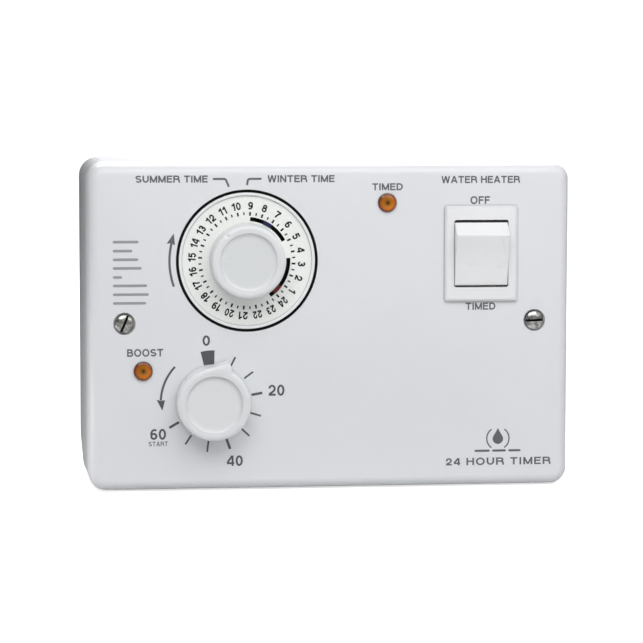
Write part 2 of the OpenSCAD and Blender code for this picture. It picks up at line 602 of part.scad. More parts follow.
module rocker_terminals() color("goldenrod") at(rock_c) for (x = [-6, 6]) {
  for (y = [-10.5, 10.5]) { blk(x - 3.1, x + 3.1, y - 0.4, y + 0.4, 26, 42); blk(x - 2, x + 2, y - 1.2, y + 1.2, 41.5, 42.35); }
  blk(x - 3.1, x + 3.1, -0.4, 0.4, 26, see_z - 0.75);
}

// ---- neon indicators ----
module lens() rotate_extrude() polygon(concat(
  [[2.5, 51], [3.45, 51], [3.45, depth + 0.5]],
  [for (i = [0:6]) [3.45 * cos(i * 15), depth + 0.5 + 0.95 * sin(i * 15)]],
  [[0, depth - 1], [1.4, depth - 1.2], [2.5, depth - 2.4]]));
module timed_neon_lens() color([0.75, 0.35, 0.05]) at(timed_n) lens();
module boost_neon_lens() color([0.75, 0.35, 0.05]) at(boost_n) lens();
module neon_lamps() color([0.9, 0.85, 0.8]) for (p = [timed_n, boost_n]) at(p) union() {
  rotate_extrude() polygon(concat([[0, 45], [2.1, 45], [2.1, 54.6]], [for (i = [0:6]) [2.1 * cos(i * 15), 54.6 + 2.1 * sin(i * 15)]]));
  for (s = [-1, 1]) translate([s * 0.9, 0, 0]) cyl(0.3, 40, 45.2);
}
module neon_clips() color("silver") for (p = [timed_n, boost_n]) at(p) difference() {
  cyl(5.2, 55.4, 56.3);
  cyl(3.5, 55, 57);
}

// ---- plug that joins the cover's parts to the base ----
module plug_block() color([0.25, 0.26, 0.28]) difference() {
  translate([40, -21, 0]) rbox(60, 12, 2, 22.2, 32);
  for (x = [14, 66]) at([x, -21]) cyl(1.6, 21, 33);
  for (x = blade_x) blk(x - 2.5, x + 2.5, -21.5, -20.5, 21, 33);
}
module plug_blades() color("goldenrod") for (x = blade_x) blk(x - 2.4, x + 2.4, -21.4, -20.6, 8, 36);
module plug_screws() color("silver") for (x = [14, 66]) translate([x, -21, 22.1]) screw_up(2.6, 1.6, 1.25, 22);

// wires run from the plug's tags (z 36) to each part, clear of everything that turns
module wire(a, b, c, d) sweep(path4(a, b, c, d), 0.95);
module live_wires() color([0.45, 0.25, 0.1]) {
  wire([22, -21, 37.2], [22, -21, 50], [6, -46, 50], [-18.6, -40.9, 41]);
  wire([29.2, -21, 37.2], [29.2, -10, 54], [2, -10, 54], [-9, -8, 40]);
  wire([43.6, -21, 37.2], [43.6, -21, 46], [50.3, -8, 24], [50.35, 14.8, 28]);
  wire([50.8, -21, 37.2], [50.8, -21, 46], [75, -6, 24], [64.2, 14.8, 28]);
  wire([-66, -32, 39], [-72, -32, 39], [-70, -26, 33], [-70.9, -15.9, 38.6]);
}
module neutral_wires() color([0.2, 0.35, 0.7]) {
  wire([36.4, -21, 37.2], [36.4, -21, 54], [22, 14, 34], [21.9, 46, 38.6]);
  wire([58, -21, 37.2], [55, -44, 57], [-10, -34, 22], [-5, -8, 39]);
}

wall() back_box();
wall() cover_inserts();
wall() terminal_block();
wall() terminal_clamps();
wall() terminal_screws();
wall() terminal_block_screws();
wall() earth_terminal();
wall() earth_screw();
wall() cable_clamp();
wall() cable_clamp_screws();
wall() front_cover();
wall() cover_screws();
wall() clock_housing();
wall() clock_front_plate();
wall() clock_module_screws();
wall() clock_motor();
wall() clock_motor_pinion();
wall() clock_idler_wheel();
wall() clock_dial_wheel();
wall() friction_washer();
wall() clock_dial();
wall() dial_knob();
wall() on_tappet();
wall() off_tappet();
wall() clock_circuit_board();
wall() board_components();
wall() quartz_crystal();
wall() backup_battery();
wall() battery_clip();
wall() clock_microswitch();
wall() clock_trip_lever();
wall() clock_switch_plunger();
wall() boost_housing();
wall() boost_front_plate();
wall() boost_module_screws();
wall() boost_motor();
wall() boost_motor_pinion();
wall() boost_wheel();
wall() boost_cam();
wall() boost_shaft();
wall() boost_knob();
wall() boost_microswitch();
wall() boost_trip_lever();
wall() boost_switch_plunger();
wall() rocker_housing();
wall() rocker();
wall() rocker_plungers();
wall() rocker_springs();
wall() seesaw_contacts();
wall() rocker_terminals();
wall() timed_neon_lens();
wall() boost_neon_lens();
wall() neon_lamps();
wall() neon_clips();
wall() plug_block();
wall() plug_blades();
wall() plug_screws();
wall() live_wires();
wall() neutral_wires();
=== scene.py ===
"""A wall-mounted programmable timer: white case, 24-hour dial, boost knob, rocker, two neon lenses.

It shares its frame with the CAD: +Z up, the wall at y = 0, the front towards -y, and x to the
right as seen from the front. Shapes are worked out in millimetres and built in metres.
"""
import json
from math import atan2, cos, hypot, pi, radians, sin, tan

import bmesh
import bpy
from mathutils import Matrix, Vector


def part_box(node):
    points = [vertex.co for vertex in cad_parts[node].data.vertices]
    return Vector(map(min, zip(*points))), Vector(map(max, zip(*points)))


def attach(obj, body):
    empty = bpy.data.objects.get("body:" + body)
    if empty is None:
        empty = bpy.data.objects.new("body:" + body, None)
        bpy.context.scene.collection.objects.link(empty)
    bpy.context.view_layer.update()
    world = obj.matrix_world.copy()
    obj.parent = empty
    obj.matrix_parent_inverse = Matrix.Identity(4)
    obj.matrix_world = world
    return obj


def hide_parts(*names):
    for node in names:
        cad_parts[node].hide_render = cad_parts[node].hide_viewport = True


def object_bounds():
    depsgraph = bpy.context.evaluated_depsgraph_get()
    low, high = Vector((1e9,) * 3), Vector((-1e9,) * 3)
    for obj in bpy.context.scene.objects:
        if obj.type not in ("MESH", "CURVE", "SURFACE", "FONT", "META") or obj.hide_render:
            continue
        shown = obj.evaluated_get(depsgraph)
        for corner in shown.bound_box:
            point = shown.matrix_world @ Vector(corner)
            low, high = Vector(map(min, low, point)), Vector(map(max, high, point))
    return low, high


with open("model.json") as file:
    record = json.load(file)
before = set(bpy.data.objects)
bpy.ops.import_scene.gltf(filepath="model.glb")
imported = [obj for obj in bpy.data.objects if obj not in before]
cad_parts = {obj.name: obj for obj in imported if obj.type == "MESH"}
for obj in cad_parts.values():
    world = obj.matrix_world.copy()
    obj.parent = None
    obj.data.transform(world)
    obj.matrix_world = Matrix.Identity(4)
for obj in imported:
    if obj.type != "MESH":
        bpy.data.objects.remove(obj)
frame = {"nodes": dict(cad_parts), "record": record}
cad_lo, cad_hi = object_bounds()
NODES = frame["nodes"]
MM = 0.001


def mm_box(node):
    """Lowest and highest corner of a CAD part, in millimetres."""
    lo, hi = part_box(node)
    return lo / MM, hi / MM


def centre(node):
    """Middle of a CAD part as (x, z)."""
    lo, hi = mm_box(node)
    return (lo.x + hi.x) / 2, (lo.z + hi.z) / 2


# ------------------------------------------------------------------ places
FLOOR = cad_lo.z / MM                         # lowest point of the CAD
FRONT = mm_box("front_cover")[0].y            # the flat front face
DIAL = centre("clock_dial")
DIAL_FACE = -59.5                             # y of the printed face of the dial
DIAL_RIM = mm_box("clock_dial")[0].y          # y of the top of its raised rim
BOOST = centre("boost_cam")
ROCKER = centre("rocker_housing")
SCREW_RADIUS = 3.5
screws_lo, screws_hi = mm_box("cover_screws")
screws_z = (screws_lo.z + screws_hi.z) / 2
SCREWS = [(screws_lo.x + SCREW_RADIUS, screws_z), (screws_hi.x - SCREW_RADIUS, screws_z)]

# Ink lies from just under a surface to a little proud of it: (back y, front y)
INK_SUNK, INK_PROUD = 0.02, 0.035
ON_COVER = (FRONT + INK_SUNK, FRONT - INK_PROUD)
ON_DIAL = (DIAL_FACE + INK_SUNK, DIAL_FACE - INK_PROUD)

# Linear colours shared by several materials
CASE_WHITE = (0.765, 0.775, 0.80, 1)
# grey of the painted shade in creases and on the sides towards the wall
SHADE_GREY = (0.16, 0.16, 0.17, 1)
UNLIT = (0.006, 0.006, 0.007, 1)


def srgb(*channels):
    """0..255 display values to linear rgba."""
    out = [(v / 255 / 12.92) if v / 255 <= 0.04045 else ((v / 255 + 0.055) / 1.055) ** 2.4
           for v in channels]
    return (*out, 1.0)


# ------------------------------------------------------------------ material builder
class Shader:
    """A new material's node tree, with a short call for each kind of node used here.

    Lengths are in millimetres; point is the object-space position in millimetres.
    """

    def __init__(self, name):
        self.material = bpy.data.materials.new(name)
        self.material.use_nodes = True
        self.tree = self.material.node_tree
        self.tree.nodes.clear()
        self.output = self.add("ShaderNodeOutputMaterial")
        coords = self.add("ShaderNodeTexCoord")
        self.point = self.scaled(coords.outputs["Object"], (1 / MM,) * 3)

    def add(self, kind, **props):
        node = self.tree.nodes.new(kind)
        for key, value in props.items():
            setattr(node, key, value)
        return node

    def link(self, source, target):
        self.tree.links.new(source, target)

    def put(self, socket, value):
        """Links a socket, or sets a plain value."""
        if isinstance(value, bpy.types.NodeSocket):
            self.link(value, socket)
        else:
            socket.default_value = value

    def scaled(self, vector, scale):
        node = self.add("ShaderNodeMapping")
        node.inputs["Scale"].default_value = scale
        self.link(vector, node.inputs["Vector"])
        return node.outputs["Vector"]

    def split(self, vector=None):
        node = self.add("ShaderNodeSeparateXYZ")
        self.link(vector or self.point, node.inputs[0])
        return node.outputs["X"], node.outputs["Y"], node.outputs["Z"]

    def noise(self, period, detail=3.0, rough=0.55, distort=0.0, vector=None):
        node = self.add("ShaderNodeTexNoise")
        node.inputs["Scale"].default_value = 1.0 / period
        node.inputs["Detail"].default_value = detail
        node.inputs["Roughness"].default_value = rough
        node.inputs["Distortion"].default_value = distort
        self.link(vector or self.point, node.inputs["Vector"])
        return node.outputs["Fac"]

    def ramp(self, value, start, end, low=0.0, high=1.0):
        """low where value is start, high where it is end, clamped outside."""
        node = self.add("ShaderNodeMapRange", clamp=True)
        self.link(value, node.inputs["Value"])
        for key, number in (("From Min", start), ("From Max", end),
                            ("To Min", low), ("To Max", high)):
            node.inputs[key].default_value = number
        return node.outputs["Result"]

    def vary(self, noise, low, high):
        """Spreads the middle band of a noise over low to high."""
        return self.ramp(noise, 0.3, 0.7, low, high)

    def math(self, operation, a, b=0.0):
        node = self.add("ShaderNodeMath", operation=operation)
        self.put(node.inputs[0], a)
        self.put(node.inputs[1], b)
        node.inputs[2].default_value = 0.0
        return node.outputs[0]

    def plus(self, a, b):
        return self.math("ADD", a, b)

    def minus(self, a, b):
        return self.math("SUBTRACT", a, b)

    def times(self, a, b):
        return self.math("MULTIPLY", a, b)

    def length(self, a, b):
        return self.math("SQRT", self.plus(self.times(a, a), self.times(b, b)))

    def radius(self, x, z, middle):
        """Distance of (x, z) from middle."""
        return self.length(self.minus(x, middle[0]), self.minus(z, middle[1]))

    def mix(self, factor, a, b):
        node = self.add("ShaderNodeMix", data_type="RGBA", blend_type="MIX")
        self.put(node.inputs["Factor"], factor)
        self.put(node.inputs[6], a)
        self.put(node.inputs[7], b)
        return node.outputs[2]

    def brightened(self, colour, value):
        node = self.add("ShaderNodeHueSaturation")
        self.put(node.inputs["Color"], colour)
        self.put(node.inputs["Value"], value)
        return node.outputs["Color"]

    def bump(self, height, depth, strength=1.0, normal=None):
        node = self.add("ShaderNodeBump")
        node.inputs["Strength"].default_value = strength
        node.inputs["Distance"].default_value = depth * MM
        self.link(height, node.inputs["Height"])
        if normal is not None:
            self.link(normal, node.inputs["Normal"])
        return node.outputs["Normal"]

    def bevel(self, radius):
        node = self.add("ShaderNodeBevel", samples=4)
        node.inputs["Radius"].default_value = radius * MM
        return node.outputs["Normal"]

    def openness(self, reach, samples=4):
        """0 in a tight corner to 1 in the open."""
        node = self.add("ShaderNodeAmbientOcclusion", samples=samples)
        node.inputs["Distance"].default_value = reach * MM
        return node.outputs["AO"]

    def principled(self, **inputs):
        """Ends the tree in a Principled shader and returns the material."""
        node = self.add("ShaderNodeBsdfPrincipled")
        for key, value in inputs.items():
            self.put(node.inputs[key.replace("_", " ")], value)
        self.link(node.outputs[0], self.output.inputs["Surface"])
        return self.material


# ------------------------------------------------------------------ general materials
def plastic(name, colour, rough=0.4, mottle=0.02, grain_mm=0.35, grain=0.004, bevel=0.0,
            swirl=0.0, sss=0.0, dust=0.0, contact=0.0, contact_mm=0.9, shade_free=(),
            tint=None, lines=None, rear=None, dark=None):
    """Moulded plastic: slow shade drift, fine texture, uneven sheen and softened edges.

    mottle: spread of the shade; grain, swirl: height of the fine and the broad relief;
    contact: strength of the painted shade that darkens joints and creases, found within
    contact_mm and kept away from the (x, z) places in clean; rear: (y, y, amount) of the
    painted shade that greys the sides towards the wall; tint, lines, dark: functions of the
    Shader that return a mask.
    """
    mat = Shader(name)
    slow = mat.noise(period=34.0, detail=2.0)
    fine = mat.noise(period=2.6, detail=4.0, rough=0.6)
    shade = mat.plus(mat.vary(slow, -mottle, mottle),
                     mat.vary(fine, -mottle * 0.35, mottle * 0.35))
    colour = mat.brightened(colour, mat.plus(shade, 1.0))
    normal = mat.bevel(bevel) if bevel else None
    if dust:
        # a trace of dirt in the low spots of the texture
        speck = mat.ramp(mat.noise(period=0.9, detail=2.0), 0.62, 0.75, high=dust)
        colour = mat.mix(speck, colour, (0.3, 0.29, 0.27, 1))
    if contact:
        # painted shade: darker in the joints and creases between parts, where little light reaches,
        # but not next to the floor and less round the places kept clear of it
        near = mat.ramp(mat.openness(contact_mm), 0.25, 0.85, low=contact, high=0.0)
        near = mat.times(near, mat.ramp(mat.split()[2], FLOOR + 1.2, FLOOR + 3.0))
        for place in shade_free:
            x, y, z = mat.split()
            near = mat.times(near, mat.ramp(mat.radius(x, z, place), 4.6, 5.4, low=0.12))
        colour = mat.mix(near, colour, SHADE_GREY)
    if tint:
        colour = mat.mix(tint(mat), colour, (0.56, 0.60, 0.55, 1))
    # painted shade along a joint, such as round the rocker's frame
    if lines:
        colour = mat.mix(mat.times(lines(mat), 0.42), colour, (0.18, 0.18, 0.19, 1))
    # painted shade: the sides grow greyer towards the wall
    if rear:
        start, end, amount = rear
        facing = mat.add("ShaderNodeNewGeometry").outputs["Normal"]
        sideways = mat.ramp(mat.math("ABSOLUTE", mat.split(facing)[0]), 0.35, 0.75)
        depth = mat.ramp(mat.split()[1], start, end, low=amount, high=0.0)
        colour = mat.mix(mat.times(sideways, depth), colour, SHADE_GREY)
    if dark:
        # the unlit insides of openings
        colour = mat.mix(dark(mat), colour, UNLIT)
    sheen = mat.noise(period=9.0, detail=4.0, rough=0.65, distort=0.4)
    roughness = mat.plus(mat.vary(sheen, rough - 0.05, rough + 0.05),
                         mat.vary(mat.noise(period=0.8, detail=2.0), -0.02, 0.02))
    texture = mat.noise(period=grain_mm, detail=2.0, rough=0.5)
    normal = mat.bump(texture, depth=grain, normal=normal)
    if swirl:
        normal = mat.bump(mat.noise(period=16.0, detail=1.5), depth=swirl, normal=normal)
    inputs = dict(Base_Color=colour, Roughness=roughness, Normal=normal, IOR=1.5,
                  Specular_IOR_Level=0.5)
    if sss:
        inputs.update(Subsurface_Weight=sss, Subsurface_Radius=(0.9, 0.7, 0.6),
                      Subsurface_Scale=0.001)
    return mat.principled(**inputs)


def metal(name, colour, rough, mottle, brush=None, stain=None):
    """Plated or rolled metal: tone drift, drawn lines (brush scales them), faint tarnish."""
    mat = Shader(name)
    drift = mat.noise(period=5.0, detail=4.0, rough=0.6)
    if brush:
        lines = mat.noise(period=0.35, detail=4.0, rough=0.7,
                          vector=mat.scaled(mat.point, brush))
    else:
        lines = mat.noise(period=0.25, detail=4.0, rough=0.7)
    darker = tuple(x * (1 - 2.5 * mottle) for x in colour[:3]) + (1,)
    tone = mat.mix(mat.ramp(drift, 0.3, 0.75), colour, darker)
    if stain:
        blotch = mat.noise(period=2.2, detail=5.0, rough=0.7, distort=0.6)
        tone = mat.mix(mat.ramp(blotch, 0.55, 0.72, high=0.7), tone, stain)
    roughness = mat.plus(mat.ramp(lines, 0.25, 0.75, low=rough - 0.07, high=rough + 0.15),
                         mat.vary(drift, -0.03, 0.05))
    normal = mat.bump(lines, depth=0.006, strength=0.7, normal=mat.bevel(0.12))
    return mat.principled(Base_Color=tone, Metallic=1.0, Roughness=roughness, Normal=normal)


def ink(name, colour):
    """Screen-printed ink: slightly uneven coverage and a dry, matt surface."""
    mat = Shader(name)
    cover = mat.ramp(mat.noise(period=0.22, detail=3.0, rough=0.7), 0.35, 0.75, high=0.16)
    thin = tuple(min(1.0, x * 1.6 + 0.05) for x in colour[:3]) + (1,)
    colour = mat.mix(cover, colour, thin)
    normal = mat.bump(mat.noise(period=0.12, detail=2.0), depth=0.003, strength=0.8)
    return mat.principled(
        Base_Color=colour, Normal=normal, Specular_IOR_Level=0.35,
        Roughness=mat.vary(mat.noise(period=0.6, detail=2.0), 0.49, 0.63))


# ------------------------------------------------------------------ materials of one part
def screw_heads():
    """Nickel-plated heads, bright on the dome, with painted shade making the slot and the edges
    dark and dull, and a mottled tone that is partly painted reflection.
    """
    mat = Shader("nickel_screw_heads")
    drift = mat.noise(period=1.6, detail=4.0, rough=0.65)
    # random bright and dull tone, partly standing in for painted reflections
    colour = mat.mix(mat.ramp(drift, 0.35, 0.65), srgb(222, 221, 216), srgb(112, 112, 106))
    # painted shade: the slot and the edges, found by ambient occlusion, go near black and lose
    # their shine
    clear = mat.openness(1.3, samples=8)
    colour = mat.mix(mat.ramp(clear, 0.52, 0.93, low=1.0, high=0.0), colour,
                     (0.004, 0.004, 0.004, 1))
    lines = mat.noise(period=0.22, detail=4.0, rough=0.7)
    roughness = mat.plus(mat.ramp(lines, 0.25, 0.75, low=0.16, high=0.30),
                         mat.ramp(clear, 0.4, 0.9, low=0.3, high=0.0))
    normal = mat.bump(lines, depth=0.010, strength=0.8, normal=mat.bevel(0.14))
    return mat.principled(
        Base_Color=colour, Roughness=roughness, Normal=normal,
        Metallic=mat.ramp(clear, 0.5, 0.9),
        Specular_IOR_Level=mat.ramp(clear, 0.5, 0.9, low=0.05, high=0.5))


LENS_RADIUS = 3.5
LENS_MIDDLE, LENS_EDGE = srgb(60, 34, 4), srgb(84, 38, 14)
# (part of the radius, colour) between the middle and the edge
LENS_STOPS = ((0.10, srgb(84, 50, 6)), (0.26, srgb(160, 98, 14)), (0.52, srgb(196, 118, 20)),
              (0.76, srgb(182, 98, 20)), (0.91, srgb(128, 58, 16)))


def neon_lens(name, middle):
    """Amber lens over a neon lamp: deep orange, darker at the rim and over the lamp, fluted, with
    painted light brighter on one side and the flutes painted as lighter and darker bands.
    """
    mat = Shader(name)
    x, y, z = mat.split()
    across, up = mat.minus(x, middle[0]), mat.minus(z, middle[1])
    radius = mat.length(across, up)
    angle = mat.math("ARCTAN2", up, across)
    ramp = mat.add("ShaderNodeValToRGB")
    stops = ramp.color_ramp.elements
    stops[0].color, stops[1].color = LENS_MIDDLE, LENS_EDGE
    for place, colour in LENS_STOPS:
        stops.new(place).color = colour
    mat.link(mat.math("DIVIDE", radius, LENS_RADIUS), ramp.inputs["Fac"])
    # painted light: brighter towards the lower right, as light from one side falls through to the
    # other side of the cone; the flutes are painted as lighter and darker bands
    lean = mat.ramp(mat.plus(mat.times(across, 0.5), mat.times(up, -1.0)), -3.0, 3.0,
                    low=0.66, high=1.34)
    flute = mat.ramp(mat.math("SINE", mat.times(angle, 12.0)), -1.0, 1.0, low=0.93, high=1.07)
    colour = mat.brightened(ramp.outputs["Color"], mat.times(lean, flute))
    normal = mat.bump(mat.noise(period=0.7, detail=2.0), depth=0.006)
    return mat.principled(
        Base_Color=colour, Normal=normal, Transmission_Weight=0.12, IOR=1.49,
        Roughness=mat.vary(mat.noise(period=1.2, detail=2.0), 0.10, 0.2),
        Coat_Weight=0.22, Coat_Roughness=0.05, Specular_IOR_Level=0.3,
        Subsurface_Weight=0.25, Subsurface_Radius=(1.0, 0.35, 0.05), Subsurface_Scale=0.001)


def glass():
    mat = Shader("lamp_glass")
    normal = mat.bump(mat.noise(period=1.5, detail=2.0), depth=0.01)
    return mat.principled(Base_Color=(0.93, 0.9, 0.86, 1), Roughness=0.06,
                          Transmission_Weight=0.75, IOR=1.5, Normal=normal)


def board():
    """Green solder-masked board with tracks that show through as a lighter green."""
    mat = Shader("solder_masked_board")
    tracks = mat.add("ShaderNodeTexBrick")
    for key, value in (("Scale", 0.30), ("Mortar Size", 0.07), ("Color1", srgb(24, 92, 52)),
                       ("Color2", srgb(20, 84, 46)), ("Mortar", srgb(44, 128, 70))):
        tracks.inputs[key].default_value = value
    x, y, z = mat.split()
    flat = mat.add("ShaderNodeCombineXYZ")
    mat.link(x, flat.inputs["X"])
    mat.link(z, flat.inputs["Y"])
    mat.link(flat.outputs[0], tracks.inputs["Vector"])
    patch = mat.ramp(mat.noise(period=4.0, detail=3.0), 0.4, 0.7, high=0.35)
    colour = mat.mix(patch, tracks.outputs["Color"], srgb(16, 70, 40))
    normal = mat.bump(tracks.outputs["Fac"], depth=0.02, strength=0.6)
    return mat.principled(Base_Color=colour, Roughness=0.33, Normal=normal, Coat_Weight=0.3)


DIAL_FACE_RADIUS = 24.12      # where the printed face meets the raised rim


def dial_surface():
    """A slightly green-grey matt face, a whiter raised rim and a fine line between them."""
    mat = Shader("clock_dial_surface")
    x, y, z = mat.split()
    radius = mat.radius(x, z, DIAL)
    fleck = mat.ramp(mat.noise(period=0.28, detail=3.0, rough=0.7), 0.46, 0.70, high=0.26)
    colour = mat.mix(fleck, (0.90, 0.915, 0.89, 1), (0.42, 0.44, 0.41, 1))
    cloud = mat.vary(mat.noise(period=11.0, detail=2.0), 0.0, 0.10)
    colour = mat.mix(cloud, colour, (0.82, 0.83, 0.81, 1))
    rim = mat.ramp(radius, DIAL_FACE_RADIUS, DIAL_FACE_RADIUS + 0.10)
    colour = mat.mix(rim, colour, (0.85, 0.855, 0.865, 1))
    off_line = mat.math("ABSOLUTE", mat.minus(radius, DIAL_FACE_RADIUS))
    line = mat.minus(1.0, mat.ramp(off_line, 0.05, 0.16))
    colour = mat.mix(mat.times(line, 0.55), colour, (0.30, 0.31, 0.31, 1))
    # painted shade: darker in creases and next to the parts standing on the face, found by ambient
    # occlusion
    crease_shade = mat.ramp(mat.openness(0.8), 0.25, 0.85, low=0.35, high=0.0)
    colour = mat.mix(crease_shade, colour, (0.16, 0.16, 0.16, 1))
    # the edge that faces the opening, and the back, are in the dark
    hidden = mat.times(mat.math("GREATER_THAN", radius, 25.3),
                       mat.ramp(y, DIAL_RIM + 0.12, DIAL_RIM + 0.25))
    hidden = mat.math("MAXIMUM", hidden, mat.math("GREATER_THAN", radius, 25.27))
    hidden = mat.math("MAXIMUM", hidden, mat.math("GREATER_THAN", y, DIAL_FACE + 0.35))
    colour = mat.mix(hidden, colour, UNLIT)
    grain = mat.noise(period=0.22, detail=2.0, rough=0.5)
    normal = mat.bump(grain, depth=0.005, normal=mat.bevel(0.10))
    return mat.principled(Base_Color=colour, Normal=normal, IOR=1.5,
                          Roughness=mat.vary(mat.noise(period=3.0, detail=3.0), 0.42, 0.55))


# ------------------------------------------------------------------ masks for the plastics
def dial_well(mat):
    """Painted shade: the wall of the round opening behind the front face, and a thin ring of the
    front face round it, unlit like the gap.
    """
    x, y, z = mat.split()
    radius = mat.radius(x, z, DIAL)
    wall = mat.times(mat.math("LESS_THAN", radius, 26.7),
                     mat.ramp(y, FRONT + 0.08, FRONT + 0.22))
    return mat.math("MAXIMUM", wall, mat.math("LESS_THAN", radius, 26.37))


def rocker_well(mat):
    """Walls inside the rocker's opening, behind the frame's front."""
    x, y, z = mat.split()
    across = mat.math("ABSOLUTE", mat.minus(x, ROCKER[0]))
    up = mat.math("ABSOLUTE", mat.minus(z, ROCKER[1]))
    inside = mat.times(mat.math("LESS_THAN", across, 10.75), mat.math("LESS_THAN", up, 13.1))
    front = mm_box("rocker_housing")[0].y
    return mat.times(inside, mat.ramp(y, front + 0.3, front + 0.6))


def frame_line(mat):
    """Painted shade along the joint where the rocker's frame, a rounded rectangle, meets the front.
    """
    corner = 0.9
    x, y, z = mat.split()
    lo, hi = mm_box("rocker_housing")
    past_x = mat.minus(mat.math("ABSOLUTE", mat.minus(x, ROCKER[0])), (hi.x - lo.x) / 2 - corner)
    past_z = mat.minus(mat.math("ABSOLUTE", mat.minus(z, ROCKER[1])), (hi.z - lo.z) / 2 - corner)
    past_x, past_z = mat.math("MAXIMUM", past_x, 0.0), mat.math("MAXIMUM", past_z, 0.0)
    outside = mat.minus(mat.length(past_x, past_z), corner)
    line = mat.ramp(mat.math("ABSOLUTE", mat.minus(outside, 0.04)), 0.08, 0.22,
                    low=1.0, high=0.0)
    return mat.times(line, mat.ramp(y, FRONT + 0.3, FRONT + 0.5, low=1.0, high=0.0))


# ------------------------------------------------------------------ palette
CASE = dict(rough=0.42, mottle=0.012, grain_mm=0.45, grain=0.0035, bevel=0.22, swirl=0.012,
            sss=0.05, contact=0.55)
KNOB = dict(rough=0.33, mottle=0.01, grain_mm=0.6, grain=0.002, bevel=0.16, sss=0.08,
            contact=0.35, contact_mm=0.7)
TERMINAL = dict(rough=0.45, mottle=0.04, grain_mm=0.4, grain=0.003, bevel=0.08)
# material slot of the CAD: material
MATERIALS = {
    "case_white": plastic("moulded_case_white", CASE_WHITE, **CASE),
    "case_grey": plastic("moulded_box_grey", (0.47, 0.475, 0.49, 1),
                         rear=(-4.0, -36.0, 0.58), **CASE),
    "knob_white": plastic("moulded_knob_white", (0.77, 0.78, 0.795, 1), **KNOB),
    "dial_grey": plastic("dial_face_grey", (0.70, 0.715, 0.69, 1), rough=0.5, mottle=0.015,
                         grain_mm=0.22, grain=0.006, bevel=0.08, dust=0.10),
    "black_plastic": plastic("black_moulding", srgb(20, 20, 22), rough=0.45, mottle=0.12,
                             grain_mm=0.5, grain=0.006, bevel=0.15, dust=0.05),
    "dark_plastic": plastic("grey_moulding", srgb(62, 64, 68), rough=0.5, mottle=0.08,
                            grain_mm=0.5, grain=0.008, bevel=0.18, dust=0.10),
    "natural_nylon": plastic("natural_nylon", srgb(226, 219, 198), rough=0.4, mottle=0.03,
                             grain_mm=0.6, grain=0.004, bevel=0.08, sss=0.25),
    "red_plastic": plastic("red_moulding", srgb(104, 24, 20), **TERMINAL),
    "blue_plastic": plastic("blue_moulding", srgb(14, 26, 70), **TERMINAL),
    "brass": metal("brass", srgb(214, 170, 92), rough=0.30, mottle=0.05,
                   stain=srgb(140, 100, 48)),
    "steel": metal("plated_steel", srgb(196, 194, 188), rough=0.30, mottle=0.06,
                   stain=srgb(150, 146, 136)),
    "can_metal": metal("drawn_can", srgb(206, 206, 202), rough=0.24, mottle=0.04,
                       brush=(1.0, 0.06, 1.0)),
    "copper": metal("copper_alloy", srgb(206, 132, 92), rough=0.3, mottle=0.06,
                    stain=srgb(128, 70, 46)),
    "circuit_board": board(),
    "lamp_glass": glass(),
    "wire_brown": plastic("brown_sleeving", srgb(104, 60, 34), rough=0.42, mottle=0.05,
                          grain_mm=0.8, grain=0.006),
    "wire_blue": plastic("blue_sleeving", srgb(48, 96, 178), rough=0.42, mottle=0.04,
                         grain_mm=0.8, grain=0.006),
}
# CAD parts with a material of their own
PART_MATERIALS = {
    "front_cover": plastic("front_cover_white", CASE_WHITE, dark=dial_well, lines=frame_line,
                           rear=(-38.0, -52.0, 0.48), shade_free=SCREWS, **CASE),
    "rocker_housing": plastic("rocker_frame_white", (0.83, 0.835, 0.845, 1), dark=rocker_well,
                              **dict(CASE, rough=0.34, bevel=0.26, contact=0.25)),
    "cover_screws": screw_heads(),
    "clock_dial": dial_surface(),
}
for lens in ("timed_neon_lens", "boost_neon_lens"):
    PART_MATERIALS[lens] = neon_lens(lens + "_amber", centre(lens))
INK_GREY = ink("legend_grey", srgb(98, 99, 103))
INK_DARK = ink("legend_dark_grey", srgb(84, 85, 89))
INK_BLACK = ink("dial_black", srgb(26, 27, 28))
INK_PALE = ink("small_print_grey", srgb(150, 151, 155))


# ------------------------------------------------------------------ shading the CAD parts
SMOOTH_BELOW = 28             # edges blunter than this many degrees are shaded smooth
SMOOTH_BELOW_ROUND = 50       # the same for the coarse round wires and springs
ROUND_PARTS = ("live_wires", "neutral_wires", "rocker_springs")
smoothing_groups = {}


def smoothing(angle):
    """Geometry nodes that join shared points and smooth every edge blunter than the angle."""
    if angle in smoothing_groups:
        return smoothing_groups[angle]
    group = bpy.data.node_groups.new("smooth_%d" % angle, "GeometryNodeTree")
    for direction in ("INPUT", "OUTPUT"):
        group.interface.new_socket("Geometry", in_out=direction,
                                   socket_type="NodeSocketGeometry")
    new, link = group.nodes.new, group.links.new
    start, end = new("NodeGroupInput"), new("NodeGroupOutput")
    weld = new("GeometryNodeMergeByDistance")
    weld.inputs["Distance"].default_value = 2e-6
    faces = new("GeometryNodeSetShadeSmooth")
    faces.domain = "FACE"
    faces.inputs["Shade Smooth"].default_value = True
    edges = new("GeometryNodeSetShadeSmooth")
    edges.domain = "EDGE"
    edges.inputs["Shade Smooth"].default_value = False
    edge_angle = new("GeometryNodeInputMeshEdgeAngle")
    sharp = new("FunctionNodeCompare")
    sharp.data_type, sharp.operation = "FLOAT", "GREATER_THAN"
    sharp.inputs[1].default_value = radians(angle)
    link(start.outputs[0], weld.inputs["Geometry"])
    link(weld.outputs["Geometry"], faces.inputs["Geometry"])
    link(faces.outputs["Geometry"], edges.inputs["Geometry"])
    link(edge_angle.outputs["Unsigned Angle"], sharp.inputs[0])
    link(sharp.outputs[0], edges.inputs["Selection"])
    link(edges.outputs["Geometry"], end.inputs[0])
    smoothing_groups[angle] = group
    return group


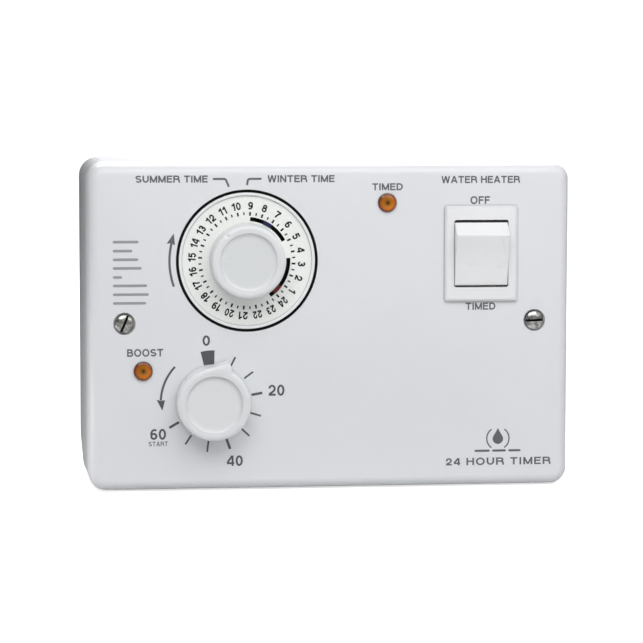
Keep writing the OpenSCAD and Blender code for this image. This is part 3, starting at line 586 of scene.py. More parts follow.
def smooth_part(part, angle):
    """Smooth shading for a CAD part, with normals weighted to the big faces."""
    for name in ("custom_normal", "sharp_face", "sharp_edge"):
        attribute = part.data.attributes.get(name)
        if attribute is not None:
            part.data.attributes.remove(attribute)
    part.modifiers.new("smooth", "NODES").node_group = smoothing(angle)
    weighted = part.modifiers.new("weighted", "WEIGHTED_NORMAL")
    weighted.mode = "FACE_AREA"
    weighted.keep_sharp = True
    weighted.weight = 60


def dress_cad_parts():
    slots = {part["node"]: part["material_slot"] for part in frame["record"]["subparts"]}
    for name, part in NODES.items():
        slot = slots[name]
        part.data.materials.clear()
        part.data.materials.append(PART_MATERIALS.get(name) or MATERIALS[slot])
        smooth_part(part, SMOOTH_BELOW_ROUND if name in ROUND_PARTS else SMOOTH_BELOW)


dress_cad_parts()


# ------------------------------------------------------------------ mesh tools
def add_object(name, mesh, body, material, smooth=None):
    """Turns a bmesh into an object that rides on a body. smooth: edge angle in degrees."""
    bmesh.ops.remove_doubles(mesh, verts=mesh.verts, dist=1e-7)
    bmesh.ops.recalc_face_normals(mesh, faces=mesh.faces)
    data = bpy.data.meshes.new(name)
    mesh.to_mesh(data)
    mesh.free()
    if smooth is not None:
        for face in data.polygons:
            face.use_smooth = True
        data.set_sharp_from_angle(angle=radians(smooth))
    data.materials.append(material)
    made = bpy.data.objects.new(name, data)
    bpy.context.scene.collection.objects.link(made)
    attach(made, body)
    return made


def verts_at(mesh, points, y):
    """New vertices at (x, z) points in millimetres, all at the same y."""
    return [mesh.verts.new((x * MM, y * MM, z * MM)) for x, z in points]


def prism(mesh, points, depth=ON_COVER):
    """A flat outline of (x, z) points as a thin closed solid; depth is (back y, front y)."""
    back, front = (verts_at(mesh, points, y) for y in depth)
    count = len(points)
    mesh.faces.new(back)
    mesh.faces.new(front[::-1])
    for i in range(count):
        j = (i + 1) % count
        mesh.faces.new((back[i], front[i], front[j], back[j]))


def polar(middle, radius, angle):
    """Point at a radius and an angle, in degrees clockwise from the top, about middle."""
    return (middle[0] + radius * sin(radians(angle)), middle[1] + radius * cos(radians(angle)))


def arc_band(middle, inner, outer, start, end):
    """Outline of a curved band, with a point about every two degrees."""
    count = max(2, int(abs(end - start) / 2.0) + 1)
    angles = [start + (end - start) * i / (count - 1) for i in range(count)]
    return ([polar(middle, outer, a) for a in angles]
            + [polar(middle, inner, a) for a in reversed(angles)])


def tick(middle, inner, outer, angle, width):
    """Outline of a straight radial mark."""
    x0, z0 = polar(middle, inner, angle)
    x1, z1 = polar(middle, outer, angle)
    dx, dz = cos(radians(angle)) * width / 2, -sin(radians(angle)) * width / 2
    return [(x0 - dx, z0 - dz), (x1 - dx, z1 - dz), (x1 + dx, z1 + dz), (x0 + dx, z0 + dz)]


def line_sides(points, width, closed=False):
    """The two sides of a line of some width, with mitred corners."""
    count = len(points)
    left, right = [], []
    for i, point in enumerate(points):
        before = points[(i - 1) % count] if (closed or i > 0) else point
        after = points[(i + 1) % count] if (closed or i < count - 1) else point
        into = Vector((point[0] - before[0], point[1] - before[1]))
        out = Vector((after[0] - point[0], after[1] - point[1]))
        into = into.normalized() if into.length > 1e-9 else out.normalized()
        out = out.normalized() if out.length > 1e-9 else into
        along = (into + out).normalized()
        normal = Vector((-along.y, along.x))
        reach = width / 2 / max(0.5, normal.dot(Vector((-into.y, into.x))))
        left.append((point[0] + normal.x * reach, point[1] + normal.y * reach))
        right.append((point[0] - normal.x * reach, point[1] - normal.y * reach))
    return left, right


def fillet(start, corner, end, radius, steps=6):
    """Points that round a corner between start and end."""
    start, corner, end = Vector(start), Vector(corner), Vector(end)
    to_start, to_end = (start - corner).normalized(), (end - corner).normalized()
    half = to_start.angle(to_end) / 2
    setback = radius / tan(half)
    middle = corner + (to_start + to_end).normalized() * (radius / sin(half))
    first = corner + to_start * setback - middle
    last = corner + to_end * setback - middle
    angle = atan2(first.y, first.x)
    turn = (atan2(last.y, last.x) - angle + pi) % (2 * pi) - pi
    return [(middle.x + radius * cos(angle + turn * i / steps),
             middle.y + radius * sin(angle + turn * i / steps)) for i in range(steps + 1)]


# ------------------------------------------------------------------ lettering
def arc(cx, cy, rx, ry, start, end, steps=10):
    """Points on an ellipse, angles in degrees, 0 to the right and counter-clockwise."""
    angles = [radians(start + (end - start) * i / steps) for i in range(steps + 1)]
    return [(cx + rx * cos(a), cy + ry * sin(a)) for a in angles]


def ring(cx, cy, rx, ry, steps):
    """A whole ellipse, marked as a closed path."""
    return ("ring", arc(cx, cy, rx, ry, 0, 360, steps)[:-1])


def alphabet(weight):
    """Plain grotesque characters as centre lines, for a cap height of 1 and this stroke weight.

    character: (advance width, paths)
    """
    half, top, mid = weight / 2, 1 - weight / 2, 0.53
    stem = [(half, 0), (half, 1)]
    upper, lower = (top - 0.5) / 2, (0.5 - half) / 2
    return {
        " ": (0.30, []),
        "T": (0.80, [[(0, top), (0.80, top)], [(0.40, 0), (0.40, 1)]]),
        "I": (weight, [stem]),
        "E": (0.74, [stem, [(0, top), (0.74, top)], [(0, mid), (0.68, mid)],
                     [(0, half), (0.74, half)]]),
        "F": (0.70, [stem, [(0, top), (0.70, top)], [(0, mid - 0.02), (0.62, mid - 0.02)]]),
        "H": (0.84, [stem, [(0.84 - half, 0), (0.84 - half, 1)], [(0, mid), (0.84, mid)]]),
        "N": (0.84, [stem, [(0.84 - half, 0), (0.84 - half, 1)],
                     [(half, 0.98), (0.84 - half, 0.02)]]),
        "M": (1.0, [stem, [(1.0 - half, 0), (1.0 - half, 1)], [(half, 0.94), (0.5, 0.06)],
                    [(0.5, 0.06), (1.0 - half, 0.94)]]),
        "W": (1.24, [[(half, 1), (0.34, 0)], [(0.34, 0), (0.62, 1)], [(0.62, 1), (0.90, 0)],
                     [(0.90, 0), (1.24 - half, 1)]]),
        "A": (0.92, [[(half * 0.8, 0), (0.46, 1)], [(0.46, 1), (0.92 - half * 0.8, 0)],
                     [(0.2, 0.31), (0.72, 0.31)]]),
        "U": (0.84, [[(half, 1)]
                     + arc(0.42, 0.42 + half * 0.6, 0.42 - half, 0.42 - half * 0.4, 180, 360)
                     + [(0.84 - half, 1)]]),
        "O": (0.98, [ring(0.49, 0.5, 0.49 - half, 0.52 - half, 28)]),
        "D": (0.86, [stem, [(0, top), (0.42, top)]
                     + arc(0.42, 0.5, 0.44 - half, 0.5 - half, 90, -90, 12) + [(0, half)]]),
        "B": (0.82, [stem, [(0, top), (0.47, top)]
                     + arc(0.47, (top + mid) / 2, 0.29 - half, (top - mid) / 2, 90, -90, 8)
                     + [(0, mid)],
                     [(0.4, mid), (0.50, mid)]
                     + arc(0.50, (half + mid) / 2, 0.32 - half, (mid - half) / 2, 90, -90, 8)
                     + [(0, half)]]),
        "R": (0.86, [stem, [(0, top), (0.50, top)]
                     + arc(0.50, (top + 0.5) / 2, 0.32 - half, upper, 90, -90, 8)
                     + [(0, 0.5)],
                     [(0.42, 0.5), (0.56, 0.47)] + arc(0.56, 0.33, 0.2, 0.14, 80, 0, 5)
                     + [(0.775, 0.12), (0.80, 0)]]),
        "S": (0.80, [arc(0.40, 0.5 + upper, 0.40 - half, upper, 22, 235, 11)
                     + arc(0.40, half + lower, 0.41 - half, lower, 55, -158, 11)]),
        "0": (0.66, [ring(0.33, 0.5, 0.33 - half, 0.51 - half, 24)]),
        "1": (0.46, [[(0.46 - half, 0), (0.46 - half, 1)],
                     [(0.0, 0.72), (0.20, 0.76), (0.46 - half, 0.97)]]),
        "2": (0.66, [[(half, 0.66)] + arc(0.33, top - 0.27, 0.33 - half, 0.27, 175, -25, 9)
                     + [(0.40, 0.36), (0.14, half + 0.10), (0.12, half)],
                     [(0.03, half), (0.66, half)]]),
        "3": (0.66, [arc(0.32, top - 0.215, 0.30 - half, 0.215, 165, -78, 9) + [(0.27, 0.535)],
                     [(0.27, 0.535)]
                     + arc(0.32, half + 0.235, 0.33 - half, 0.235, 78, -165, 10)]),
        "4": (0.70, [[(0.54, 0), (0.54, 1)], [(0.50, 0.97), (0.06, 0.32)],
                     [(0.02, 0.27), (0.70, 0.27)]]),
        "5": (0.66, [[(0.60, top), (0.15, top)], [(0.17, 1.0), (0.10, 0.48)],
                     [(0.10, 0.50)] + arc(0.32, half + 0.25, 0.33 - half, 0.26, 115, -160, 12)]),
        "6": (0.66, [ring(0.34, half + 0.23, 0.32 - half, 0.235, 20),
                     arc(0.40, 0.45, 0.40 - half, 0.55 - half, 58, 178, 9)]),
        "7": (0.64, [[(0.0, top), (0.64, top)],
                     [(0.58, top)] + arc(0.86, -0.06, 0.62, 0.98, 118, 172, 5)]),
        "8": (0.66, [ring(0.33, top - 0.20, 0.29 - half, 0.205, 18),
                     ring(0.33, half + 0.235, 0.33 - half, 0.24, 20)]),
        "9": (0.66, [ring(0.32, top - 0.23, 0.32 - half, 0.235, 20),
                     arc(0.26, 0.55, 0.40 - half, 0.55 - half, 238, 358, 9)]),
    }


def ribbon(mesh, points, width, closed, place, depth):
    """A line as one closed thin solid. place maps its points to (x, z)."""
    sides = line_sides(points, width, closed)
    (left_back, right_back), (left, right) = reversed([
        [verts_at(mesh, map(place, side), y) for side in sides] for y in reversed(depth)])
    count = len(points)
    for i in range(count if closed else count - 1):
        j = (i + 1) % count
        mesh.faces.new((left[i], left[j], right[j], right[i]))
        mesh.faces.new((left_back[j], left_back[i], right_back[i], right_back[j]))
        mesh.faces.new((left_back[i], left_back[j], left[j], left[i]))
        mesh.faces.new((right[i], right[j], right_back[j], right_back[i]))
    if not closed:
        mesh.faces.new((left_back[0], left[0], right[0], right_back[0]))
        mesh.faces.new((left[-1], left_back[-1], right_back[-1], right[-1]))


def write(mesh, text, cap, width, middle, weight, gap=0.13, turn=0.0, depth=ON_COVER):
    """Lettering as thin closed solids.

    cap and width size the whole text about middle; weight and gap are parts of the cap
    height; turn is in degrees clockwise.
    """
    characters = alphabet(weight)
    x, lines = 0.0, []
    for character in text:
        advance, paths = characters[character]
        space = gap * (1.15 if character in "IT" else 1.0)
        for path in paths:
            closed = path[0] == "ring"
            points = path[1] if closed else path
            lines.append(([(px + x, pz) for px, pz in points], closed))
        x += advance + space
    total = x - space
    turn_cos, turn_sin = cos(radians(turn)), sin(radians(turn))

    def place(point):
        across, up = (point[0] - total / 2) * width / total, (point[1] - 0.5) * cap
        return (middle[0] + across * turn_cos + up * turn_sin,
                middle[1] - across * turn_sin + up * turn_cos)

    back, front = depth
    for i, (points, closed) in enumerate(lines):
        # crossing strokes end at slightly different heights, so their faces don't coincide
        ribbon(mesh, points, weight, closed, place, (back, front - 0.0006 * (i % 5)))


# ------------------------------------------------------------------ print on the cover
# text, left x, right x, middle z, cap height
LEGENDS = (
    ("SUMMER TIME", -72.5, -45.9, 55.0, 2.6), ("WINTER TIME", -23.8, 1.2, 55.0, 2.6),
    ("TIMED", 15.3, 26.8, 51.9, 2.6), ("WATER HEATER", 41.3, 71.0, 54.5, 2.65),
    ("OFF", 52.3, 59.7, 46.8, 2.9), ("TIMED", 50.7, 62.0, 7.1, 2.7),
    ("BOOST", -75.9, -62.6, -9.1, 2.8),
)
# start, corner, point the fillet aims at, end
BRACKETS = (
    ((-44.0, 55.0), (-39.3, 55.0), (-38.1, 52.1), (-38.1, 52.1)),
    ((-26.0, 55.0), (-31.0, 55.0), (-31.35, 52.8), (-31.35, 52.7)),
)


def cover_legends():
    mesh = bmesh.new()
    for text, left, right, z, cap in LEGENDS:
        write(mesh, text, cap=cap, width=right - left, middle=((left + right) / 2, z),
              weight=0.20)
    # brackets from the two upper words to the dial
    for start, corner, aim, end in BRACKETS:
        path = [start] + fillet(start, corner, aim, radius=0.9) + [end]
        left, right = line_sides(path, width=0.75)
        prism(mesh, left + right[::-1])
    add_object("cover_legends", mesh, "cover", INK_GREY)


def dial_arrow():
    """Turning arrow to the left of the dial."""
    mesh = bmesh.new()
    prism(mesh, arc_band(DIAL, 28.3, 29.15, -109, -77))
    # radius, angle
    head = ((29.0, -69.2), (30.45, -77.6), (29.2, -76.9), (28.3, -76.9), (27.3, -77.6))
    prism(mesh, [polar(DIAL, radius, angle) for radius, angle in head])
    add_object("dial_arrow", mesh, "cover", INK_GREY)


BOOST_TICK_STEP = 80.0 / 3      # degrees; three ticks to a numbered mark
# text, middle, cap height, width
BOOST_NUMBERS = (("0", (-46.6, -4.8), 3.8, 2.75), ("20", (-20.5, -23.6), 4.1, 6.0),
                 ("40", (-36.1, -49.8), 3.9, 6.0), ("60", (-64.6, -39.5), 4.0, 5.9))


def boost_print():
    """Zero mark, scale and word round the boost knob."""
    mesh = bmesh.new()
    prism(mesh, arc_band(BOOST, 14.1, 19.3, -13.5, 2.0))
    add_object("boost_zero_mark", mesh, "cover", INK_DARK)

    mesh = bmesh.new()
    for k in range(1, 10):
        prism(mesh, tick(BOOST, 14.6, 18.7, k * BOOST_TICK_STEP, 0.92 if k % 3 == 0 else 0.66))
    # the arrow: its curved shaft and its head as (radius, angle)
    prism(mesh, arc_band(BOOST, 18.95, 19.75, -46.5, -87.5))
    head = ((19.0, -99.0), (20.9, -86.8), (19.35, -88.0), (17.8, -86.8))
    prism(mesh, [polar(BOOST, radius, angle) for radius, angle in head])
    for text, middle, cap, width in BOOST_NUMBERS:
        write(mesh, text, cap=cap, width=width, middle=middle, weight=0.18)
    add_object("boost_scale", mesh, "cover", INK_DARK)

    mesh = bmesh.new()
    write(mesh, "START", cap=1.75, width=7.1, middle=(-64.55, -43.1), weight=0.17, gap=0.16)
    add_object("boost_start_word", mesh, "cover", INK_GREY)


def bar(mesh, left, right, z, height):
    """A bar with round ends."""
    radius = height / 2
    points = [polar((right - radius, z), radius, a) for a in range(0, 181, 30)]
    points += [polar((left + radius, z), radius, a) for a in range(180, 361, 30)]
    prism(mesh, points[::-1])


SMALL_PRINT_LEFT = -81.0
# z, right x
SMALL_PRINT = ((31.9, -71.5), (28.6, -73.8), (25.4, -71.6), (22.2, -70.4),
               (18.9, -77.6), (15.75, -68.4), (12.5, -67.8), (9.3, -68.8))


def small_print():
    """Small print as plain bars."""
    mesh = bmesh.new()
    for z, right in SMALL_PRINT:
        bar(mesh, SMALL_PRINT_LEFT, right, z, height=0.95)
    add_object("small_print_bars", mesh, "cover", INK_PALE)


DROP = (63.3, -43.0)
# the pointed top of the drop, (x, z) from its middle
DROP_POINT = ((-0.75, 2.6), (-0.25, 3.55), (0, 4.0), (0.25, 3.55), (0.75, 2.6))


def generic_sign():
    """A drop between two arcs, with three bars and a generic name under it."""
    mesh = bmesh.new()
    outline = [polar(DROP, 2.0, a) for a in range(52, 309, 8)]
    prism(mesh, outline + [(DROP[0] + x, DROP[1] + z) for x, z in DROP_POINT])
    for start, end in ((35, 145), (215, 325)):
        prism(mesh, arc_band((DROP[0], DROP[1] + 0.1), 4.0, 4.5, start, end))
    for left, right in ((54.4, 60.2), (61.1, 66.4), (67.3, 72.0)):
        bar(mesh, left, right, -47.5, height=0.8)
    write(mesh, "24 HOUR TIMER", cap=2.75, width=40.0, middle=(63.5, -51.5), weight=0.19,
          gap=0.20)
    add_object("generic_sign", mesh, "cover", INK_GREY)


cover_legends()
dial_arrow()
boost_print()
small_print()
generic_sign()


# ------------------------------------------------------------------ print on the dial
DIAL_TURN = 3.9               # degrees clockwise of the number at the top
TOP_HOUR = 9
HOUR_STEP = 360 / 24


def dial_numbers():
    """Hours 1 to 24, counter-clockwise, with a tick for every half hour."""
    mesh = bmesh.new()
    for hour in range(1, 25):
        angle = DIAL_TURN + (TOP_HOUR - hour) * HOUR_STEP
        width = {1: 1.15, 11: 2.75}.get(hour, 1.85 if hour < 10 else 3.3)
        write(mesh, str(hour), cap=2.85, width=width, middle=polar(DIAL, 20.4, angle),
              turn=angle, weight=0.205, gap=0.14, depth=ON_DIAL)
    for k in range(48):
        inner, outer, width = (16.95, 18.0, 0.5) if k % 2 else (16.7, 18.1, 0.66)
        prism(mesh, tick(DIAL, inner, outer, DIAL_TURN + k * HOUR_STEP / 2, width), ON_DIAL)
    add_object("dial_numbers", mesh, "dial", INK_BLACK)


dial_numbers()


# ------------------------------------------------------------------ knobs
KNOB_RADIUS = 13.5
KNOB_SHOULDER = 0.85          # radius of the outer edge
KNOB_LIP = 0.5                # radius of the edge inside the rim
KNOB_COVE = 1.5               # radius where the inside wall meets the dished middle
# heights out of the wall
DIAL_KNOB_OUT = -mm_box("dial_knob")[0].y
BOOST_KNOB_OUT = -mm_box("boost_knob")[0].y


def lathe(middle, profile, angles, shape=None):
    """Closed turned solid about an axis along y.

    profile: (radius, height out of the wall) from the back centre to the front centre.
    angles: degrees clockwise from the top. shape(radius, angle) may change the radius.
    """
    mesh = bmesh.new()
    rings = []
    for radius, height in profile:
        if radius < 1e-6:
            points = [middle]
        else:
            points = [polar(middle, shape(radius, a) if shape else radius, a) for a in angles]
        rings.append(verts_at(mesh, points, -height))
    count = len(angles)
    for back, front in zip(rings, rings[1:]):
        for i in range(count):
            j = (i + 1) % count
            if len(back) == 1:
                mesh.faces.new((back[0], front[j], front[i]))
            elif len(front) == 1:
                mesh.faces.new((back[i], back[j], front[0]))
            else:
                mesh.faces.new((back[i], back[j], front[j], front[i]))
    return mesh


def knob_profile(inner, back, front, deep):
    """Side, rounded shoulder, slightly crowned rim, soft inner edge and dished middle."""
    radius = KNOB_RADIUS
    profile = [(0.0, back), (radius * 0.6, back), (radius + 0.02, back),
               (radius + 0.25, back + 0.22), (radius + 0.25, back + 0.8),
               (radius + 0.12, (back + front) / 2)]
    # shoulder
    rim_out, rim_in = radius - KNOB_SHOULDER, inner + KNOB_LIP
    crown = front - 0.18
    for i in range(10):
        angle = radians(9.0 * i)
        profile.append((rim_out + KNOB_SHOULDER * cos(angle),
                        crown - KNOB_SHOULDER + KNOB_SHOULDER * sin(angle)))
    # crown of the rim
    profile += [(rim_out + (rim_in - rim_out) * i / 6,
                 crown + 0.17 * sin(pi * (0.15 + 0.85 * i / 6))) for i in range(7)]
    # inner edge
    for angle in map(radians, (15, 30, 45, 60, 75)):
        profile.append((rim_in - KNOB_LIP * sin(angle),
                        front - 0.1 - KNOB_LIP * (1 - cos(angle))))
    # inside wall, curving into the dish
    edge, height = profile[-1]
    floor = front - deep
    profile.append((edge - 0.12, height - 0.35))
    for angle in map(radians, (10, 25, 40, 55, 70, 82, 90)):
        profile.append((edge - 0.25 - KNOB_COVE * (1 - cos(angle)),
                        floor + 0.12 + (height - 0.55 - floor) * (1 - sin(angle))))
    dish = profile[-1][0]
    profile += [(dish * f, floor + 0.12 * f * f) for f in (0.8, 0.55, 0.3, 0.12)]
    return profile + [(0.0, floor)]


def dished_cap(mat):
    """The dished middle of the dial knob, a shade greyer than its rim."""
    x, y, z = mat.split()
    return mat.times(mat.ramp(mat.radius(x, z, DIAL), 9.6, 10.3, low=0.22, high=0.0),
                     mat.math("LESS_THAN", y, -DIAL_KNOB_OUT + 4.0))


DIMPLE = Vector((-39.4, 34.2))
DIMPLE_RADIUS = 0.95
DIMPLE_DEPTH = 0.42


def dial_knob():
    mesh = lathe(DIAL, knob_profile(inner=10.45, back=59.62, front=DIAL_KNOB_OUT, deep=1.35),
                 angles=[360.0 * i / 240 for i in range(240)])
    # small index dimple pressed into the rim
    for v in mesh.verts:
        if v.co.y < -(DIAL_KNOB_OUT - 1.5) * MM:
            away = (Vector((v.co.x / MM, v.co.z / MM)) - DIMPLE).length
            if away < DIMPLE_RADIUS:
                v.co.y += DIMPLE_DEPTH * MM * (0.5 + 0.5 * cos(pi * away / DIMPLE_RADIUS))
    white = plastic("dial_knob_white", (0.775, 0.785, 0.80, 1), tint=dished_cap, **KNOB)
    knob = add_object("dial_knob_turned", mesh, "dial", white, smooth=40)
    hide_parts("dial_knob")


# The boost knob has a fin-like pointer drawn out of its rim at this clockwise angle
POINTER_ANGLE = 18.5
# the fin's outline: x along the pointer, y anticlockwise of it; both ends on the round rim
FIN = [Vector(point) for point in (
    (KNOB_RADIUS * cos(radians(34.0)), KNOB_RADIUS * sin(radians(34.0))),
    (15.3, 1.30), (16.15, 0.30), (16.3, -0.02), (16.28, -0.32), (15.95, -0.75), (14.9, -1.75),
    (KNOB_RADIUS * cos(radians(10.5)), -KNOB_RADIUS * sin(radians(10.5))))]


def from_pointer(angle):
    """Clockwise angle from the pointer, -180 to 180."""
    return (angle - POINTER_ANGLE + 180) % 360 - 180


def fin_radius(angle):
    """Radius of the boost knob's outline at a clockwise angle."""
    turn = radians(-(angle - POINTER_ANGLE))
    turn = (turn + pi) % (2 * pi) - pi
    ray = Vector((cos(turn), sin(turn)))
    for start, end in zip(FIN, FIN[1:]):
        ends = atan2(start.y, start.x), atan2(end.y, end.x)
        if min(ends) <= turn <= max(ends):
            side = end - start
            cross = ray.x * side.y - ray.y * side.x
            if abs(cross) > 1e-9:
                return max(KNOB_RADIUS, (start.x * side.y - start.y * side.x) / cross)
    return KNOB_RADIUS


def boost_shape(radius, angle):
    """Draws out the fin, fading it away towards the inside of the rim."""
    fade = max(0.0, min(1.0, (radius - 11.7) / 1.0))
    return radius + (fin_radius(angle) - KNOB_RADIUS) * fade


def boost_knob():
    # close spacing round the fin, wider elsewhere
    near = [0.4 * i for i in range(-94, 40)]
    wide = [angle for angle in (360.0 * i / 230 for i in range(230))
            if not near[0] - 1.0 < from_pointer(angle) < near[-1] + 1.0]
    angles = sorted([(POINTER_ANGLE + turn) % 360 for turn in near] + wide)
    mesh = lathe(BOOST, knob_profile(inner=10.35, back=60.62, front=BOOST_KNOB_OUT, deep=1.5),
                 angles, boost_shape)
    # the fin's top slopes a little below the rim
    for v in mesh.verts:
        radius = hypot(v.co.x / MM - BOOST[0], v.co.z / MM - BOOST[1])
        if radius > 13.6 and -v.co.y / MM > 61.8:
            v.co.y += 0.30 * MM * min(1.0, (radius - 13.6) / 2.5)
    knob = add_object("boost_knob_turned", mesh, "boost_knob", MATERIALS["knob_white"],
                      smooth=40)
    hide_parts("boost_knob")


dial_knob()
boost_knob()


# ------------------------------------------------------------------ rocker
ROCKER_TILT = 15.0            # degrees the paddle leans in the CAD


def rocker_skirt(mat, pivot, upright):
    """The part of the rocker that stays inside its frame, where no light reaches."""
    x, y, z = mat.split()
    # distance out of the wall in the rocker's own frame
    out = mat.plus(mat.times(mat.minus(y, pivot.y), -upright[1][1]),
                   mat.times(mat.minus(z, pivot.z), -upright[1][2]))
    return mat.ramp(out, 2.0, 2.35, low=1.0, high=0.0)


def rocker_paddle():
    """The CAD rocker with rounded edges and both ends drawn in, so its end slots show."""
    joints = frame["record"]["behaviour"]["joints"]
    pivot = Vector(next(j for j in joints if j["name"] == "rocker_tilt")["pos_m"])
    mesh = bmesh.new()
    mesh.from_mesh(NODES["rocker"].data)
    bmesh.ops.remove_doubles(mesh, verts=mesh.verts, dist=2e-6)

    def reach(turn):
        heights = [(turn @ (v.co - pivot)).z for v in mesh.verts]
        return max(max(heights), -min(heights))

    # the turn that stands the paddle upright is the one that leaves it shorter
    upright = min((Matrix.Rotation(radians(ROCKER_TILT * sign), 4, "X") for sign in (1, -1)),
                  key=reach)
    tilted = upright.inverted()

    def local(v):
        """Upright place in millimetres: z up the paddle, -y out of the wall."""
        return (upright @ (v.co - pivot)) / MM

    bmesh.ops.dissolve_limit(mesh, angle_limit=radians(1.2), verts=mesh.verts,
                             edges=mesh.edges)
    for v in mesh.verts:
        p = local(v)
        out = -p.y
        if abs(p.x - 10.05) < 0.1 and out > 2.0:
            p.x -= 0.28
        if p.z > 11.9 and out > 2.0:
            p.z -= 0.42
        elif p.z < -9.6 and out > 6.5:
            p.z += 0.30
        v.co = (tilted @ (p * MM)) + pivot
    white = plastic("rocker_white", (0.86, 0.865, 0.87, 1), rough=0.30, mottle=0.01,
                    grain_mm=0.6, grain=0.002, bevel=0.14, sss=0.06,
                    dark=lambda mat: rocker_skirt(mat, pivot / MM, upright))

    def is_outer(edge):
        """An edge at the paddle's sides, face or ends where two faces meet at over 18 degrees."""
        if len(edge.link_faces) != 2:
            return False
        ends = [local(v) for v in edge.verts]
        return ((all(-p.y > 2.0 and 9.6 < abs(p.x) < 10.15 for p in ends)
                 or all(-p.y > 8.0 for p in ends)
                 or all(abs(p.z) > 9.0 and -p.y > 2.0 for p in ends))
                and edge.calc_face_angle(0.0) > radians(18))

    bmesh.ops.bevel(mesh, geom=[edge for edge in mesh.edges if is_outer(edge)],
                    offset=0.32 * MM, offset_type="OFFSET", segments=3, profile=0.5,
                    affect="EDGES", clamp_overlap=True)
    bmesh.ops.triangulate(mesh, faces=[f for f in mesh.faces if len(f.verts) > 4])
    paddle = add_object("rocker_paddle", mesh, "rocker", white, smooth=26)
    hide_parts("rocker")


rocker_paddle()


# ------------------------------------------------------------------ floor
FLOOR_HALF = 6.0              # metres
FLOOR_GAP = 0.05              # below the object
FLOOR_LIGHT = 0.13            # light a strip of floor in front gives back to the object
FLOOR_STRIP = dict(near=-76.0, far=-61.0, left=-94.0)


def floor_material():
    """Pale floor, as bright as the backdrop, showing only the softest part of the shadow."""
    mat = Shader("floor_pale")
    seen = mat.add("ShaderNodeLightPath").outputs["Is Camera Ray"]
    geometry = mat.add("ShaderNodeNewGeometry")
    tone = mat.mix(mat.vary(mat.noise(period=60.0, detail=3.0), 0.0, 1.0),
                   (0.80, 0.80, 0.80, 1), (0.82, 0.82, 0.82, 1))
    diffuse = mat.add("ShaderNodeBsdfDiffuse")
    mat.put(diffuse.inputs["Color"], mat.mix(seen, (0.70, 0.70, 0.70, 1), tone))
    emission = mat.add("ShaderNodeEmission")
    x, y, z = mat.split()
    glow = mat.ramp(mat.length(x, y), 100.0, 330.0, low=0.70, high=1.02)
    strip = mat.times(mat.times(mat.math("LESS_THAN", y, FLOOR_STRIP["far"]),
                                mat.math("GREATER_THAN", y, FLOOR_STRIP["near"])),
                      mat.math("GREATER_THAN", x, FLOOR_STRIP["left"]))
    given = mat.times(mat.times(mat.minus(1.0, seen), strip), FLOOR_LIGHT)
    mat.put(emission.inputs["Strength"], mat.plus(mat.times(seen, glow), given))
    lit = mat.add("ShaderNodeAddShader")
    mat.link(diffuse.outputs[0], lit.inputs[0])
    mat.link(emission.outputs[0], lit.inputs[1])
    # clear from below
    clear = mat.add("ShaderNodeBsdfTransparent")
    sides = mat.add("ShaderNodeMixShader")
    mat.link(geometry.outputs["Backfacing"], sides.inputs[0])
    mat.link(lit.outputs[0], sides.inputs[1])
    mat.link(clear.outputs[0], sides.inputs[2])
    mat.link(sides.outputs[0], mat.output.inputs["Surface"])
    return mat.material


def stage_floor():
    data = bpy.data.meshes.new("floor")
    z = (FLOOR - FLOOR_GAP) * MM
    corners = [(x * FLOOR_HALF, y * FLOOR_HALF, z) for x, y in ((-1, -1), (1, -1), (1, 1), (-1, 1))]
    data.from_pydata(corners, [], [(0, 1, 2, 3)])
    data.materials.append(floor_material())
    floor = bpy.data.objects.new("floor", data)
    bpy.context.scene.collection.objects.link(floor)


stage_floor()


# ------------------------------------------------------------------ world
BACKDROP = 1.05               # brightness the camera sees
GLOW_ALL = 0.16               # light from all round
# axis, sign and strength of the extra light from overhead, front, right and left
GLOW_SIDES = (("Z", 1.0, 0.0), ("Y", -1.0, 0.15), ("X", 1.0, 0.0), ("X", -1.0, 0.0))


def studio_world():
    """A white backdrop for the camera and a soft surround for the light."""
    world = bpy.data.worlds.new("studio")
    bpy.context.scene.world = world
    world.use_nodes = True
    world.node_tree.nodes.clear()
    new, link = world.node_tree.nodes.new, world.node_tree.links.new

    def math(operation, a, b):
        node = new("ShaderNodeMath")
        node.operation = operation
        for i, value in enumerate((a, b)):
            if isinstance(value, bpy.types.NodeSocket):
                link(value, node.inputs[i])
            else:
                node.inputs[i].default_value = value
        return node.outputs[0]

    output = new("ShaderNodeOutputWorld")
    light_path = new("ShaderNodeLightPath")
    backdrop = new("ShaderNodeBackground")
    backdrop.inputs["Color"].default_value = (1, 1, 1, 1)
    backdrop.inputs["Strength"].default_value = BACKDROP
    surround = new("ShaderNodeBackground")
    surround.inputs["Color"].default_value = (0.97, 0.985, 1.0, 1)
    coords = new("ShaderNodeTexCoord")
    axes = new("ShaderNodeSeparateXYZ")
    link(coords.outputs["Generated"], axes.inputs[0])
    total = math("ADD", GLOW_ALL, 0.0)
    for axis, sign, strength in GLOW_SIDES:
        towards = math("MAXIMUM", math("MULTIPLY", axes.outputs[axis], sign), 0.0)
        total = math("ADD", total, math("MULTIPLY", towards, strength))
    link(total, surround.inputs["Strength"])
    chosen = new("ShaderNodeMixShader")
    link(light_path.outputs["Is Camera Ray"], chosen.inputs[0])
    link(surround.outputs[0], chosen.inputs[1])
    link(backdrop.outputs[0], chosen.inputs[2])
    link(chosen.outputs[0], output.inputs["Surface"])


studio_world()


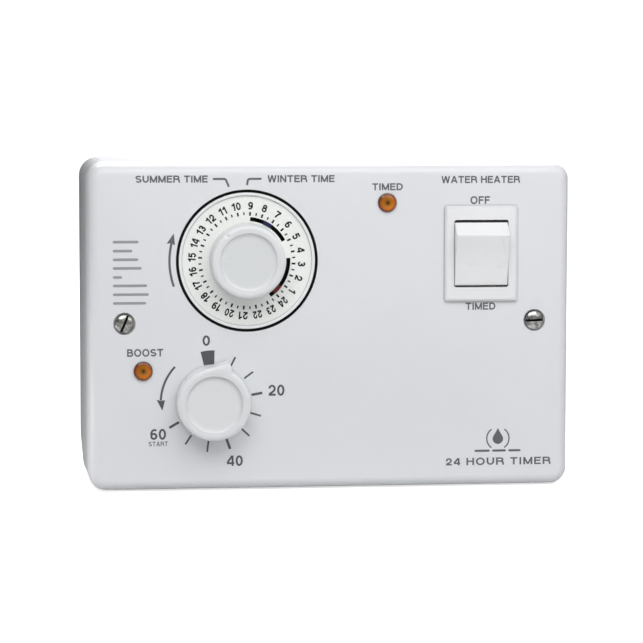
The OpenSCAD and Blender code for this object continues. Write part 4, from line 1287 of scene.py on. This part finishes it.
# ------------------------------------------------------------------ lights
# name, place, aim, width, height (metres), power (watts)
SOFT_BOXES = (
    ("overhead_strip", (0.0, 0.04, 0.16), (0.0, -0.03, 0.06), 0.26, 0.04, 0.38),
    ("near_top", (0.0, -0.42, 0.42), (0.0, -0.03, 0.0), 0.55, 0.45, 1.62),
    ("near_top_right", (0.28, -0.40, 0.36), (0.0, -0.03, 0.0), 0.45, 0.45, 0.72),
    ("key_left", (-0.50, -0.95, 0.95), (0.0, -0.03, 0.0), 0.60, 0.60, 3.1),
    ("back_fill", (0.35, 0.95, 0.55), (0.0, 0.0, 0.0), 0.8, 0.6, 3.2),
    ("low_left", (-0.20, -0.05, -0.050), (-0.09, -0.03, -0.05), 0.05, 0.05, 0.052),
)


def soft_box(name, place, aim, width, height, power):
    light = bpy.data.lights.new(name, "AREA")
    light.energy = power
    light.shape = "RECTANGLE"
    light.size, light.size_y = width, height
    box = bpy.data.objects.new(name, light)
    bpy.context.scene.collection.objects.link(box)
    box.location = place
    box.rotation_mode = "QUATERNION"
    box.rotation_quaternion = (Vector(aim) - Vector(place)).to_track_quat("-Z", "Y")
    box.visible_camera = False


for spec in SOFT_BOXES:
    soft_box(*spec)


# ------------------------------------------------------------------ camera
YAW, PITCH, ROLL = radians(7.0255), radians(4.9335), radians(0.0571)
CAMERA_DISTANCE = 1015.42     # from the front face
CAMERA_RIGHT = -3.1146        # slide along the picture's own axes, before the roll
CAMERA_UP = 2.3551


def add_camera():
    forward = Vector((sin(YAW) * cos(PITCH), cos(YAW) * cos(PITCH), -sin(PITCH)))
    level = Vector((cos(YAW), -sin(YAW), 0.0))
    rise = level.cross(forward)
    place = (Vector((0, FRONT, 0)) - CAMERA_DISTANCE * forward
             + CAMERA_RIGHT * level + CAMERA_UP * rise)
    right = level * cos(ROLL) + rise * sin(ROLL)
    up = rise * cos(ROLL) - level * sin(ROLL)
    data = bpy.data.cameras.new("camera")
    camera = bpy.data.objects.new("camera", data)
    bpy.context.scene.collection.objects.link(camera)
    turn = Matrix((right, up, -forward)).transposed().to_4x4()
    camera.matrix_world = Matrix.Translation(place * MM) @ turn
    data.sensor_width = 36.0
    data.lens = 152.745257
    data.shift_x = -0.0019906687
    data.shift_y = -0.0021073095
    data.clip_start, data.clip_end = 0.05, 20.0
    bpy.context.scene.camera = camera


add_camera()
view = bpy.context.scene.view_settings
view.view_transform = "Standard"
view.look = "None"
view.exposure = 0.0
view.gamma = 1.0
